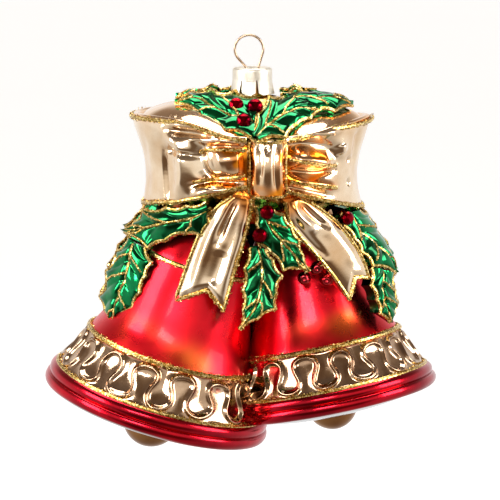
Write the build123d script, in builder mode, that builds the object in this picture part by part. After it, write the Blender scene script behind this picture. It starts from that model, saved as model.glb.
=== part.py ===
from build123d import *
import math
import os

# A blown-glass Christmas ornament: two bells side by side under a bow and a wreath of
# holly, hung by a wire eye in a stamped cap. +X is to the right, -Y is the front and +Z
# is up. The origin is the centre of the wire eye. Sizes are in millimetres.

os.makedirs("parts", exist_ok=True)

# ------------------------------------------------------------------ driving dimensions
# Hanger: one spring wire, an eye above the cap and two legs inside the neck.
wire_radius = 0.35
eye_radius = 3.85
leg_gap = 3.3
foot_gap = 6.0
foot_z = -17.0
wire_bend = 1.2

# Cap: thin stamped metal with a petalled skirt.
cap_x = 0.9
cap_top = -4.9
cap_bottom = -12.0
cap_radius = 5.4
cap_skirt_radius = 6.05
cap_wall = 0.4
cap_edge = 0.8
cap_hole_radius = 2.3
cap_gap = 0.4
petal_slits = (-33.0, 13.0, 147.0, 193.0)
slit_top = -8.0
slit_width_top = 0.3
slit_width_bottom = 0.9

# Neck: the open glass tube under the cap.
neck_radius = 4.6
neck_bore = 3.7
neck_bottom = -19.0
glass_wall = 1.2

# Bells: each has the centre of its mouth, how far its top leans to the right and to the
# back, its size against the common profile, and the radius and height of its clapper.
bell_left_mouth = (-25.2, -1.2, -96.1)
bell_left_leans = (16.5, -3.4)
bell_left_size = 1.02
bell_left_knob = (7.8, -5.3)
bell_right_mouth = (22.2, 2.8, -94.9)
bell_right_leans = (-11.5, 3.8)
bell_right_size = 0.96
bell_right_knob = (7.5, -3.1)

# The common profile, as radius and height along the bell's axis above its mouth.
rim_top = 3.2
rim_roll = 2.0
rim_upper = (28.3, 1.6)
rim_lower = (28.9, -0.9)
rim_inner = 26.8
band_foot = (28.4, 3.2)
band_head = (23.0, 15.0)
bell_profile = [band_head, (20.2, 20.6), (18.5, 27.0), (16.7, 34.5), (15.0, 42.0)]
crown_shoulder = (10.0, 49.5)
crown_top = 53.0
waist_line = (15.45, 40.0)
floor_edge = -1.6
floor_bulge = 4.5
floor_steps = [0.91, 0.68, 0.34, 0.0]
floor_seat = 0.4

# Glitter lines, and the stones set in the leaves.
glitter_bead = 0.75
glitter_gap = 0.15
glitter_clear = 1.006
glitter_proud = 0.4
glitter_line = 1.3
trim_room = 40.0
stone_sides = 8
stone_height = 1.6
stone_seat = 0.4
stone_taper = 28.0
stone_look_up = 0.45
berry_radius = 1.95

# The garland is as wide and deep as this stack of level ellipses:
# (height, half width, half depth).
garland_stack = [
    (-16.0, 32.6, 23.5),
    (-25.0, 31.6, 24.0),
    (-34.0, 30.6, 23.5),
    (-43.0, 31.8, 22.5),
    (-51.0, 36.0, 22.5),
    (-59.0, 40.2, 23.0),
    (-67.0, 41.6, 24.0),
    (-78.0, 41.2, 25.5),
]
wreath_stack = [
    (-23.0, 33.5, 24.0),
    (-19.5, 32.0, 19.5),
    (-16.0, 30.0, 15.0),
    (-13.0, 23.0, 11.0),
    (-11.0, 16.0, 8.0),
]
core_stack = [
    (-46.0, 19.0, 14.0),
    (-42.0, 24.0, 18.0),
    (-31.0, 26.0, 20.5),
    (-22.5, 25.5, 19.0),
    (-18.5, 19.5, 12.5),
    (-15.0, 12.5, 8.8),
    (-12.6, 8.0, 6.6),
]
garland_reach = 34.0
form_depth = 7.0

# Outlines in the front view, as (x, z). The bow.
loop_left_outline = [
    (-0.5, -22.6), (-22.4, -18.8), (-31.7, -17.4), (-28.9, -43.2), (-19.0, -40.4), (-0.5, -36.6),
]
loop_right_outline = [
    (10.4, -22.6), (21.0, -20.0), (33.2, -18.0), (31.0, -43.6), (21.5, -41.2), (10.4, -36.6),
]
loop_left_waist = (-28.0, -32.0)
loop_right_waist = (29.4, -32.0)
knot_centre = (5.0, -30.0)
knot_size = (11.0, 15.4)
knot_inner = 19.0
knot_outer = 28.0
knot_edge = 1.5
tail_left_outline = [
    (-3.6, -37.0), (0.4, -38.4), (-0.3, -44.0), (-4.3, -59.4), (-7.0, -68.4),
    (-11.4, -62.4), (-20.6, -66.6), (-18.2, -59.8), (-11.8, -43.8), (-8.0, -38.6),
]
tail_right_outline = [
    (9.4, -38.6), (14.6, -38.2), (19.0, -40.8), (27.9, -50.1), (33.1, -60.8),
    (28.9, -60.2), (27.6, -66.2), (21.1, -57.0), (13.0, -48.0), (10.6, -44.2),
]

# The holly leaves, by the tips of their points, from each leaf's stem clockwise.
leaf_top_left_points = [
    (-1.0, -22.5), (-6.4, -19.6), (-12.4, -17.6), (-20.4, -13.2),
    (-13.5, -10.0), (-3.0, -10.0), (1.5, -14.5),
]
leaf_top_front_points = [
    (2.6, -22.6), (-1.4, -18.4), (4.6, -10.0), (14.0, -11.6), (21.4, -15.6), (12.4, -19.6),
]
leaf_top_right_points = [
    (14.5, -18.8), (10.2, -14.2), (8.8, -8.6), (19.0, -8.4), (29.4, -13.2), (32.2, -17.0), (23.5, -19.6),
]
leaf_left_upper_points = [
    (-11.6, -39.0), (-12.0, -48.4), (-20.8, -49.4), (-27.2, -53.4), (-34.2, -50.0), (-28.9, -42.2),
]
leaf_left_lower_points = [
    (-27.2, -53.6), (-26.0, -56.0), (-29.7, -64.4), (-36.9, -73.6),
    (-41.0, -68.0), (-39.4, -59.8), (-34.2, -50.2),
]
leaf_center_upper_points = [
    (2.0, -39.4), (2.4, -50.2), (9.0, -57.2), (16.4, -57.6), (13.4, -48.6), (8.8, -40.6),
]
leaf_center_lower_points = [
    (-0.9, -51.2), (-1.4, -62.4), (-2.6, -73.0), (2.0, -70.0), (7.2, -67.4), (9.0, -57.6), (2.2, -50.4),
]
leaf_right_upper_points = [
    (24.2, -42.6), (27.4, -48.6), (32.6, -56.6), (40.6, -60.8), (38.8, -50.6), (31.6, -43.2),
]
leaf_right_lower_points = [
    (32.8, -56.8), (33.0, -65.6), (36.2, -73.8), (40.4, -73.4), (41.0, -66.8), (40.6, -61.0),
]
leaf_back_center_points = [
    (2.0, -38.0), (-3.4, -50.2), (-0.4, -60.0), (3.0, -71.0), (8.0, -60.0), (10.4, -50.0), (8.0, -40.6),
]
leaf_bite = 0.09
leaf_bite_most = 0.7

# Stones as (x, z, radius), and berries as (x, depth, z).
stones_top = [(-3.4, -14.4, 2.1), (1.6, -14.8, 2.2), (-1.4, -18.6, 2.1)]
stones_center = [(4.8, -41.6, 2.0), (2.9, -47.8, 2.1)]
stones_right = [(26.2, -44.4, 1.9)]
berries = [(14.8, -16.5, -60.2), (18.2, -16.0, -57.6), (20.8, -15.5, -60.8)]


# ------------------------------------------------------------------------ volumes
def stack_size(stack, height):
    """Half width and half depth of a stack of ellipses at one height."""
    levels = sorted(stack)
    for low, high in zip(levels, levels[1:]):
        if low[0] <= height <= high[0]:
            share = (height - low[0]) / (high[0] - low[0])
            return (low[1] + share * (high[1] - low[1]), low[2] + share * (high[2] - low[2]))
    return levels[-1][1:]


def ellipse_stack(stack, grow=0.0):
    """A closed volume lofted through a stack of level ellipses."""
    with BuildPart() as volume:
        for height, half_width, half_depth in stack:
            with BuildSketch(Plane.XY.offset(height)):
                Ellipse(half_width + grow, half_depth + grow)
        loft()
    return volume.part


def bell_plane(mouth, leans):
    """The front view plane of a bell, with its origin in the mouth and Y along the axis."""
    right = math.radians(leans[0])
    back = math.radians(leans[1])
    facing = Vector(math.sin(right) * math.sin(back), -math.cos(back), math.cos(right) * math.sin(back))
    return Plane(origin=mouth, x_dir=(math.cos(right), 0, -math.sin(right)), z_dir=facing)


def bell_axis(plane):
    return Axis(plane.origin, plane.y_dir)


def sized(point, size):
    """A point of the common profile on a bell of another size."""
    return (point[0] * size, point[1] * size)


def floor_line(size, raised=0.0):
    """The floor's bulge from the rim to the axis, raised by an amount."""
    edge = sized((rim_inner + floor_seat, floor_edge), size)
    steps = [(edge[0], edge[1] + raised)]
    for part in floor_steps:
        drop = floor_bulge * size * math.sqrt(1 - part**2)
        steps.append((edge[0] * part, edge[1] + raised - drop))
    return Spline(steps)


def dome_line(size, thinner=0.0):
    """The bell's outside from the band up over the crown, made thinner by an amount."""
    steps = [sized(point, size) for point in bell_profile + [crown_shoulder]]
    steps = [(radius - thinner, height) for radius, height in steps]
    return Spline(steps + [(0, crown_top * size - thinner)])


def bell_volume(plane, size, knob):
    """Everything inside a bell's outer surface, used to cut its neighbours."""
    middle = (0, floor_edge * size)
    edge = sized((rim_inner + floor_seat, floor_edge), size)
    foot = sized(band_foot, size)
    with BuildPart() as volume:
        with BuildSketch(plane):
            with BuildLine():
                dome = dome_line(size)
                Line(dome @ 1, middle)
                Line(middle, edge)
                Line(edge, foot)
                Line(foot, dome @ 0)
            make_face()
        revolve(axis=bell_axis(plane))
        with BuildSketch(plane):
            for roll in (rim_upper, rim_lower):
                with Locations(sized(roll, size)):
                    Circle(rim_roll * size)
        revolve(axis=bell_axis(plane))
        with BuildSketch(plane):
            with BuildLine():
                bulge = floor_line(size)
                Line(bulge @ 1, middle)
                Line(middle, bulge @ 0)
            make_face()
        revolve(axis=bell_axis(plane))
        with Locations(Location(plane.from_local_coords((0, knob[1] * size, 0)))):
            Sphere(knob[0] * size)
    return volume.part


left_plane = bell_plane(bell_left_mouth, bell_left_leans)
right_plane = bell_plane(bell_right_mouth, bell_right_leans)
left_bell = bell_volume(left_plane, bell_left_size, bell_left_knob)
right_bell = bell_volume(right_plane, bell_right_size, bell_right_knob)
core = ellipse_stack(core_stack)
core_inside = ellipse_stack(core_stack[1:-1], -glass_wall)
garland = ellipse_stack(garland_stack)
garland_wall = garland - ellipse_stack(garland_stack, -form_depth)
garland_skin = ellipse_stack(garland_stack, glitter_proud)
wreath = ellipse_stack(wreath_stack)
wreath_skin = ellipse_stack(wreath_stack, glitter_proud)


def boxes_meet(first, second):
    """Whether two shapes' bounding boxes overlap."""
    a = first.bounding_box()
    b = second.bounding_box()
    apart_x = a.max.X < b.min.X or b.max.X < a.min.X
    apart_y = a.max.Y < b.min.Y or b.max.Y < a.min.Y
    apart_z = a.max.Z < b.min.Z or b.max.Z < a.min.Z
    return not (apart_x or apart_y or apart_z)


def save(piece, name):
    """Label a finished piece and write it as its own STEP file."""
    piece.label = name
    export_step(piece, "parts/" + name + ".step")
    return piece


# ------------------------------------------------------------------------ the bells
def bell_shell(plane, size, name, others):
    """The thin wall from the band up to where it joins the garland's body."""
    with BuildPart() as shell:
        with BuildSketch(plane):
            with BuildLine():
                outer = dome_line(size)
                inner = dome_line(size, glass_wall)
                Line(outer @ 1, inner @ 1)
                Line(outer @ 0, inner @ 0)
            make_face()
        revolve(axis=bell_axis(plane))
        for other in others:
            add(other, mode=Mode.SUBTRACT)
    return save(shell.part, name)


def bell_band(plane, size, name, others):
    """The flared wall that carries the embossed band."""
    foot = sized(band_foot, size)
    head = sized(band_head, size)
    with BuildPart() as band:
        with BuildSketch(plane):
            with BuildLine():
                inner_head = (head[0] - glass_wall, head[1])
                inner_foot = (foot[0] - glass_wall, foot[1])
                Polyline(foot, head, inner_head, inner_foot, close=True)
            make_face()
        revolve(axis=bell_axis(plane))
        for other in others:
            add(other, mode=Mode.SUBTRACT)
    return save(band.part, name)


def bell_rim(plane, size, name, others):
    """The double-rolled rim, two thin-walled rolls with their inner side cut flat."""
    inner = (rim_inner * size, rim_top * size)
    with BuildPart() as rim:
        with BuildSketch(plane):
            for roll in (rim_upper, rim_lower):
                with Locations(sized(roll, size)):
                    Circle(rim_roll * size)
            for roll in (rim_upper, rim_lower):
                with Locations(sized(roll, size)):
                    Circle(rim_roll * size - glass_wall, mode=Mode.SUBTRACT)
            with Locations(inner):
                Rectangle(trim_room, trim_room, align=(Align.MAX, Align.CENTER), mode=Mode.SUBTRACT)
                Rectangle(trim_room, trim_room, align=(Align.CENTER, Align.MIN), mode=Mode.SUBTRACT)
        revolve(axis=bell_axis(plane))
        for other in others:
            add(other, mode=Mode.SUBTRACT)
    return save(rim.part, name)


def bell_floor(plane, size, name, others):
    """The closed, slightly bulging underside."""
    with BuildPart() as floor:
        with BuildSketch(plane):
            with BuildLine():
                low = floor_line(size)
                high = floor_line(size, glass_wall)
                Line(low @ 0, high @ 0)
                Line(low @ 1, high @ 1)
            make_face()
            with Locations(sized(rim_lower, size)):
                Circle(rim_roll * size, mode=Mode.SUBTRACT)
        revolve(axis=bell_axis(plane))
        for other in others:
            add(other, mode=Mode.SUBTRACT)
    return save(floor.part, name)


def bell_clapper(plane, size, knob, name, others):
    """The clapper: a round knob moulded in the floor."""
    with BuildPart() as clapper:
        with Locations(Location(plane.from_local_coords((0, knob[1] * size, 0)))):
            Sphere(knob[0] * size)
        with BuildSketch(plane):
            with BuildLine():
                low = floor_line(size)
                Line(low @ 0, (low @ 0) + (0, trim_room))
                Line((low @ 0) + (0, trim_room), (0, trim_room))
                Line((0, trim_room), low @ 1)
            make_face()
        revolve(axis=bell_axis(plane), mode=Mode.SUBTRACT)
        for other in others:
            add(other, mode=Mode.SUBTRACT)
    return save(clapper.part, name)


bell_shell(left_plane, bell_left_size, "bell_left_shell", [core])
bell_band(left_plane, bell_left_size, "bell_left_band", [])
bell_rim(left_plane, bell_left_size, "bell_left_rim", [])
bell_floor(left_plane, bell_left_size, "bell_left_floor", [])
bell_clapper(left_plane, bell_left_size, bell_left_knob, "bell_left_clapper", [])
bell_shell(right_plane, bell_right_size, "bell_right_shell", [core, left_bell])
bell_band(right_plane, bell_right_size, "bell_right_band", [left_bell])
bell_rim(right_plane, bell_right_size, "bell_right_rim", [left_bell])
bell_floor(right_plane, bell_right_size, "bell_right_floor", [left_bell])
bell_clapper(right_plane, bell_right_size, bell_right_knob, "bell_right_clapper", [left_bell])


# ------------------------------------------------------- neck, cap and hanging wire
with BuildPart() as neck:
    with BuildSketch(Plane.XY.offset(neck_bottom)):
        with Locations((cap_x, 0)):
            Circle(neck_radius)
            Circle(neck_bore, mode=Mode.SUBTRACT)
    extrude(amount=cap_top - cap_wall - neck_bottom)
save(neck.part, "neck")

with BuildPart() as garland_core:
    add(core)
    add(core_inside, mode=Mode.SUBTRACT)
    with BuildSketch(Plane.XY.offset(neck_bottom)):
        with Locations((cap_x, 0)):
            Circle(neck_radius)
    extrude(amount=-neck_bottom, mode=Mode.SUBTRACT)
save(garland_core.part, "garland_core")

with BuildPart() as cap:
    with BuildSketch(Plane.XZ):
        with BuildLine():
            Polyline(
                (cap_x + cap_hole_radius, cap_top),
                (cap_x + cap_radius, cap_top),
                (cap_x + cap_radius, slit_top),
                (cap_x + cap_skirt_radius, cap_bottom),
                (cap_x + cap_skirt_radius - cap_wall, cap_bottom),
                (cap_x + cap_radius - cap_wall, slit_top),
                (cap_x + cap_radius - cap_wall, cap_top - cap_wall),
                (cap_x + cap_hole_radius, cap_top - cap_wall),
                close=True,
            )
        make_face()
        shoulder = vertices().sort_by(Axis.Y)[-2:].sort_by(Axis.X)[-1]
        fillet(shoulder, cap_edge)
    revolve(axis=Axis((cap_x, 0, 0), (0, 0, 1)))
    for slit in petal_slits:
        angle = math.radians(slit)
        outward = (math.sin(angle), -math.cos(angle), 0)
        along = (math.cos(angle), math.sin(angle), 0)
        with BuildSketch(Plane(origin=(cap_x, 0, 0), x_dir=along, z_dir=outward)):
            with BuildLine():
                Polyline(
                    (-slit_width_top / 2, slit_top),
                    (slit_width_top / 2, slit_top),
                    (slit_width_bottom / 2, cap_bottom - cap_wall),
                    (-slit_width_bottom / 2, cap_bottom - cap_wall),
                    close=True,
                )
            make_face()
        extrude(amount=2 * cap_radius, mode=Mode.SUBTRACT)
save(cap.part, "cap")


def eye_tangent(leg_x, side):
    """Where a straight wire from the cap's hole touches the eye's circle."""
    distance = math.hypot(leg_x, cap_top)
    angle = math.atan2(cap_top, leg_x) + side * math.acos(eye_radius / distance)
    return (eye_radius * math.cos(angle), eye_radius * math.sin(angle))


with BuildPart() as hanger_wire:
    with BuildLine(Plane.XZ):
        left_touch = eye_tangent(cap_x - leg_gap / 2, -1)
        right_touch = eye_tangent(cap_x + leg_gap / 2, 1)
        left_leg = FilletPolyline(
            (cap_x - foot_gap / 2, foot_z), (cap_x - leg_gap / 2, cap_top), left_touch, radius=wire_bend
        )
        ThreePointArc(left_touch, (0, eye_radius), right_touch)
        FilletPolyline(
            right_touch, (cap_x + leg_gap / 2, cap_top), (cap_x + foot_gap / 2, foot_z), radius=wire_bend
        )
    with BuildSketch(Plane(origin=left_leg @ 0, z_dir=left_leg % 0)):
        Circle(wire_radius)
    sweep()
save(hanger_wire.part, "hanger_wire")


# ------------------------------------------------------------- stones and berries
def surface_plane(stack, x, z, side):
    """A plane standing on a stack's front (-1) or back (+1), facing outwards."""
    half_width, half_depth = stack_size(stack, z)
    y = side * half_depth * math.sqrt(max(0.0, 1 - (x / half_width) ** 2))
    outward = Vector(x / half_width**2, y / half_depth**2, 0).normalized()
    return Plane(origin=(x, y, z), x_dir=(0, 0, 1), z_dir=outward)


def stones(stack, places, name, look_up):
    """A group of faceted stones set on the front of a stack of ellipses."""
    with BuildPart() as group:
        for x, z, radius in places:
            seat = surface_plane(stack, x, z, -1)
            facing = Vector(seat.z_dir.X, seat.z_dir.Y, look_up).normalized()
            seat = Plane(origin=seat.origin, x_dir=(1, 0, 0), z_dir=facing)
            with BuildSketch(seat.offset(-stone_seat)):
                RegularPolygon(radius=radius, side_count=stone_sides)
            extrude(amount=stone_height, taper=stone_taper)
    return save(group.part, name)


stones_top_group = stones(wreath_stack, stones_top, "rhinestones_top", stone_look_up)
stones_center_group = stones(garland_stack, stones_center, "rhinestones_center", 0.0)
stones_right_group = stones(garland_stack, stones_right, "rhinestone_right", 0.0)
stone_pieces = [stones_top_group, stones_center_group, stones_right_group]


# --------------------------------------------------------------- bow, tails and holly
def outline_face(points, bite=0.0):
    """A closed outline whose sides are arcs that dip inwards by bite of their length."""
    area = sum(a[0] * b[1] - b[0] * a[1] for a, b in zip(points, points[1:] + points[:1]))
    inward = math.copysign(1.0, area)
    with BuildSketch() as face:
        with BuildLine():
            for start, end in zip(points, points[1:] + points[:1]):
                if bite:
                    SagittaArc(start, end, inward * min(bite * math.dist(start, end), leaf_bite_most))
                else:
                    Line(start, end)
        make_face()
    return face.sketch


def moulded_form(points, side, volume, name, others, bite=0.0):
    """A raised form: an outline carried into depth, cut to a volume and to its neighbours."""
    with BuildPart() as form:
        with BuildSketch(Plane.XZ.offset(garland_reach if side < 0 else 0)):
            add(outline_face(points, bite))
        extrude(amount=-garland_reach)
        add(volume, mode=Mode.INTERSECT)
        for other in others:
            if boxes_meet(form.part, other):
                add(other, mode=Mode.SUBTRACT)
    return save(form.part, name)


def knot(side, name):
    """The round band that gathers the bow's middle."""
    with BuildPart() as band:
        with BuildSketch(Plane.XY.offset(knot_centre[1] - knot_size[1] / 2)):
            with Locations((knot_centre[0], side * knot_inner)):
                Ellipse(knot_size[0] / 2, knot_outer - knot_inner)
            with Locations((knot_centre[0], side * (knot_inner - knot_outer / 2))):
                Rectangle(knot_size[0], knot_outer, mode=Mode.SUBTRACT)
        extrude(amount=knot_size[1])
        fillet(band.edges().filter_by(Plane.XY).filter_by(GeomType.LINE, reverse=True), knot_edge)
        add(core, mode=Mode.SUBTRACT)
    return save(band.part, name)


def bow_loop(points, waist, name, others):
    """One loop of the bow, round the side of the body, with its outer end drawn in."""
    with BuildPart() as loop:
        with BuildSketch(Plane.XZ.offset(garland_reach)):
            with BuildLine():
                Polyline(points[3:] + points[:3])
                ThreePointArc(points[2], waist, points[3])
            make_face()
        extrude(amount=-2 * garland_reach)
        add(garland, mode=Mode.INTERSECT)
        for other in others:
            if boxes_meet(loop.part, other):
                add(other, mode=Mode.SUBTRACT)
    return save(loop.part, name)


def outline_trim(points, side, film, line, bite=0.0):
    """The glitter line that follows a form's outline, as a film on its surface."""
    with BuildPart() as trim:
        with BuildSketch(Plane.XZ.offset(garland_reach if side < 0 else 0)):
            add(outline_face(points, bite))
            offset(amount=-line, kind=Kind.INTERSECTION, mode=Mode.SUBTRACT)
        extrude(amount=-garland_reach)
        add(film, mode=Mode.INTERSECT)
    return trim.part


cap_room = Pos(cap_x, 0, cap_bottom - cap_gap) * extrude(Circle(cap_skirt_radius + cap_gap), -cap_bottom)
neck_tube = Pos(cap_x, 0, neck_bottom) * extrude(Circle(neck_radius), -neck_bottom)
garland_film = garland_skin - garland
wreath_film = wreath_skin - wreath
inner_forms = [core, neck_tube, left_bell, right_bell] + stone_pieces

knots = [knot(-1, "bow_knot_front"), knot(1, "bow_knot_back")]
loops = []
for outline, waist, name in (
    (loop_left_outline, loop_left_waist, "bow_loop_left"),
    (loop_right_outline, loop_right_waist, "bow_loop_right"),
):
    loops.append(bow_loop(outline, waist, name, inner_forms + knots))

tails = []
for side, view in ((-1, ""), (1, "_back")):
    taken = inner_forms + knots + loops
    tails.append(moulded_form(tail_left_outline, side, garland_wall, "bow_tail" + view + "_left", taken))
    taken = taken + tails
    tails.append(moulded_form(tail_right_outline, side, garland_wall, "bow_tail" + view + "_right", taken))

front_leaves = [
    ("leaf_top_left", leaf_top_left_points, wreath),
    ("leaf_top_front", leaf_top_front_points, wreath),
    ("leaf_top_right", leaf_top_right_points, wreath),
    ("leaf_left_upper", leaf_left_upper_points, garland_wall),
    ("leaf_left_lower", leaf_left_lower_points, garland_wall),
    ("leaf_center_upper", leaf_center_upper_points, garland_wall),
    ("leaf_center_lower", leaf_center_lower_points, garland_wall),
    ("leaf_right_upper", leaf_right_upper_points, garland_wall),
    ("leaf_right_lower", leaf_right_lower_points, garland_wall),
]
back_leaves = [
    ("leaf_back_top_left", leaf_top_left_points, wreath),
    ("leaf_back_top_right", leaf_top_right_points, wreath),
    ("leaf_back_left_upper", leaf_left_upper_points, garland_wall),
    ("leaf_back_left_lower", leaf_left_lower_points, garland_wall),
    ("leaf_back_center", leaf_back_center_points, garland_wall),
    ("leaf_back_right_upper", leaf_right_upper_points, garland_wall),
    ("leaf_back_right_lower", leaf_right_lower_points, garland_wall),
]
with BuildPart() as berries_moulded:
    for x, y, z in berries:
        with Locations((x, y, z)):
            Sphere(berry_radius)
    for other in inner_forms + tails:
        add(other, mode=Mode.SUBTRACT)
save(berries_moulded.part, "berries_moulded")

leaves = []
for side, names in ((-1, front_leaves), (1, back_leaves)):
    for name, points, volume in names:
        taken = inner_forms + [cap_room] + knots + loops + tails + leaves
        taken.append(berries_moulded.part)
        leaves.append(moulded_form(points, side, volume, name, taken, leaf_bite))


# -------------------------------------------------------------------- glitter trims
def ring_volume(plane, size, lines, bead):
    """Round beads where a bell's wall changes direction, of a given radius."""
    with BuildPart() as volume:
        with BuildSketch(plane):
            for line in lines:
                with Locations(sized(line, size)):
                    Circle(bead)
        revolve(axis=bell_axis(plane))
    return volume.part


def bead_rings(plane, size, lines, name, others):
    """The beads of glitter of one bell."""
    with BuildPart() as rings:
        add(ring_volume(plane, size, lines, glitter_bead))
        for other in others:
            if boxes_meet(rings.part, other):
                add(other, mode=Mode.SUBTRACT)
    return save(rings.part, name)


def trims(outlines, name, others):
    """A group of glitter films along outlines: (points, side, film, bite) each."""
    with BuildPart() as group:
        for points, side, film, bite in outlines:
            add(outline_trim(points, side, film, glitter_line, bite))
        for other in others:
            if boxes_meet(group.part, other):
                add(other, mode=Mode.SUBTRACT)
    return save(group.part, name)


forms = knots + loops + tails + leaves + stone_pieces
near_bells = [left_bell, right_bell, core] + forms
left_lines = [band_foot, band_head, waist_line]
bead_rings(left_plane, bell_left_size, left_lines, "glitter_bands_left", near_bells)
near_bells.append(ring_volume(left_plane, bell_left_size, left_lines, glitter_bead + glitter_gap))
bead_rings(right_plane, bell_right_size, [band_foot, band_head], "glitter_bands_right", near_bells)

bow_lines = [
    (loop_left_outline, -1, garland_film, 0.0),
    (loop_right_outline, -1, garland_film, 0.0),
    (loop_left_outline, 1, garland_film, 0.0),
    (loop_right_outline, 1, garland_film, 0.0),
]
tail_lines = [
    (tail_left_outline, -1, garland_film, 0.0),
    (tail_right_outline, -1, garland_film, 0.0),
    (tail_left_outline, 1, garland_film, 0.0),
    (tail_right_outline, 1, garland_film, 0.0),
]
front_lines = [(points, -1, garland_film, leaf_bite) for name, points, volume in front_leaves[3:]]
back_lines = [(points, 1, garland_film, leaf_bite) for name, points, volume in back_leaves[2:]]
film_room = knots + stone_pieces
bow_glitter = trims(bow_lines, "glitter_bow", film_room + leaves[:3] + leaves[9:11])
tail_glitter = trims(tail_lines, "glitter_tails", film_room + [bow_glitter])
leaf_room = film_room + [bow_glitter, tail_glitter]
bell_room = bell_volume(left_plane, bell_left_size * glitter_clear, bell_left_knob)
trims(front_lines, "glitter_leaves_front", leaf_room + [bell_room])
trims(back_lines, "glitter_leaves_back", leaf_room)
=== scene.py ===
import math
import bmesh
import bpy
import numpy as np
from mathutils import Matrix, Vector


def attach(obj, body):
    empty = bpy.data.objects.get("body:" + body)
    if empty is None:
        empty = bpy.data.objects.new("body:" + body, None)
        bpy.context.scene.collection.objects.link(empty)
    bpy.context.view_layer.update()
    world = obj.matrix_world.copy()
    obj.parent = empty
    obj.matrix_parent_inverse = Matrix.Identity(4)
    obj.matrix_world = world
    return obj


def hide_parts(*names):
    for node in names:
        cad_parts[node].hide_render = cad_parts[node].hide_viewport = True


# A blown-glass ornament: two red bells, a gold bow, green holly, glitter and stones.
# Shapes are worked out in millimetres, in the frame's axes: +X right, -Y front, +Z up.

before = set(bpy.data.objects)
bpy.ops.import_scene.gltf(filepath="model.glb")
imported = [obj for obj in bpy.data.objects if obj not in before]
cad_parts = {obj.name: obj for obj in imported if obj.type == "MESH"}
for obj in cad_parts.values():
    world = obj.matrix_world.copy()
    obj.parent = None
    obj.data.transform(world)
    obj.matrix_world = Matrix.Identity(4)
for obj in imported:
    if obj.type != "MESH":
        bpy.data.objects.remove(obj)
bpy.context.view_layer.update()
MM = 0.001
rng = np.random.default_rng(7)
FRONT, BACK = 1, -1

# ------------------------------------------------------------------------ dimensions
RIM_ROLL = 2.0
RIM_UPPER = (28.3, 1.6)
RIM_LOWER = (28.9, -0.9)
RIM_INNER = 26.8
BAND_FOOT = (28.4, 3.2)
BAND_HEAD = (23.0, 15.0)
DOME = [BAND_HEAD, (20.2, 20.6), (18.5, 27.0), (16.7, 34.5), (15.0, 42.0), (10.0, 49.5), (0.0, 53.0)]
WAIST = (15.45, 40.0)
FLOOR_EDGE = -1.6
FLOOR_BULGE = 4.5
GLASS = 1.2

CAP_X = 0.9
CAP_TOP = -4.9
CAP_BOTTOM = -12.0
CAP_RADIUS = 5.4
CAP_SKIRT = 6.05
CAP_WALL = 0.4
CAP_EDGE = 0.8
CAP_HOLE = 2.3
SLIT_TOP = -8.0
SLITS = (-33.0, 13.0, 147.0, 193.0)

WIRE = 0.35
EYE = 3.85
LEG_GAP = 3.3
FOOT_GAP = 6.0
FOOT_Z = -17.0

# Stacks of level ellipses: (height, half width, half depth).
GARLAND = [
    (-16.0, 32.6, 23.5), (-25.0, 31.6, 24.0), (-34.0, 30.6, 23.5), (-43.0, 31.8, 22.5),
    (-51.0, 36.0, 22.5), (-59.0, 40.2, 23.0), (-67.0, 41.6, 24.0), (-78.0, 41.2, 25.5),
]
WREATH = [
    (-23.0, 33.5, 24.0), (-19.5, 32.0, 19.5), (-16.0, 30.0, 15.0), (-13.0, 23.0, 11.0), (-11.0, 16.0, 8.0),
]


# ---------------------------------------------------------------------------- curves
def cubic(xs, ys):
    """A natural cubic spline through the points, as a function."""
    xs = np.asarray(xs, float)
    ys = np.asarray(ys, float)
    order = np.argsort(xs)
    xs, ys = xs[order], ys[order]
    count = len(xs)
    step = np.diff(xs)
    slope = np.diff(ys) / step
    matrix = np.eye(count)
    right = np.zeros(count)
    for i in range(1, count - 1):
        matrix[i, i - 1:i + 2] = step[i - 1], 2 * (step[i - 1] + step[i]), step[i]
        right[i] = 3 * (slope[i] - slope[i - 1])
    bend = np.linalg.solve(matrix, right)

    def value(x):
        x = np.clip(x, xs[0], xs[-1])
        i = np.clip(np.searchsorted(xs, x) - 1, 0, count - 2)
        t = x - xs[i]
        first = slope[i] - step[i] * (2 * bend[i] + bend[i + 1]) / 3
        third = (bend[i + 1] - bend[i]) / (3 * step[i])
        return ys[i] + t * (first + t * (bend[i] + t * third))

    return value


def even(points, count):
    """count points evenly spaced along a polyline."""
    points = np.asarray(points, float)
    length = np.concatenate([[0], np.cumsum(np.linalg.norm(np.diff(points, axis=0), axis=1))])
    at = np.linspace(0, length[-1], count)
    return np.stack([np.interp(at, length, points[:, k]) for k in range(points.shape[1])], axis=1)


def smooth_line(points, count):
    """count points evenly spaced along a Catmull-Rom curve through the points."""
    points = np.asarray(points, float)
    if len(points) < 3:
        return even(points, count)
    padded = np.vstack([2 * points[0] - points[1], points, 2 * points[-1] - points[-2]])
    fine = []
    for a, b, c, d in zip(padded, padded[1:], padded[2:], padded[3:]):
        for t in np.linspace(0, 1, 16, endpoint=False):
            bend = (2 * a - 5 * b + 4 * c - d) * t**2 + (3 * b - a - 3 * c + d) * t**3
            fine.append(0.5 * (2 * b + (c - a) * t + bend))
    fine.append(points[-1])
    return even(fine, count)


def bitten(points, count, bite):
    """count points along a line whose stretches between the given tips dip to one side by bite."""
    points = np.asarray(points, float)
    fine = []
    for a, b in zip(points, points[1:]):
        run = b - a
        side = np.array([run[1], -run[0]])
        for t in np.linspace(0, 1, 14, endpoint=False):
            fine.append(a + run * t + side * bite * 4 * t * (1 - t))
    fine.append(points[-1])
    return even(fine, count)


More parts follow.
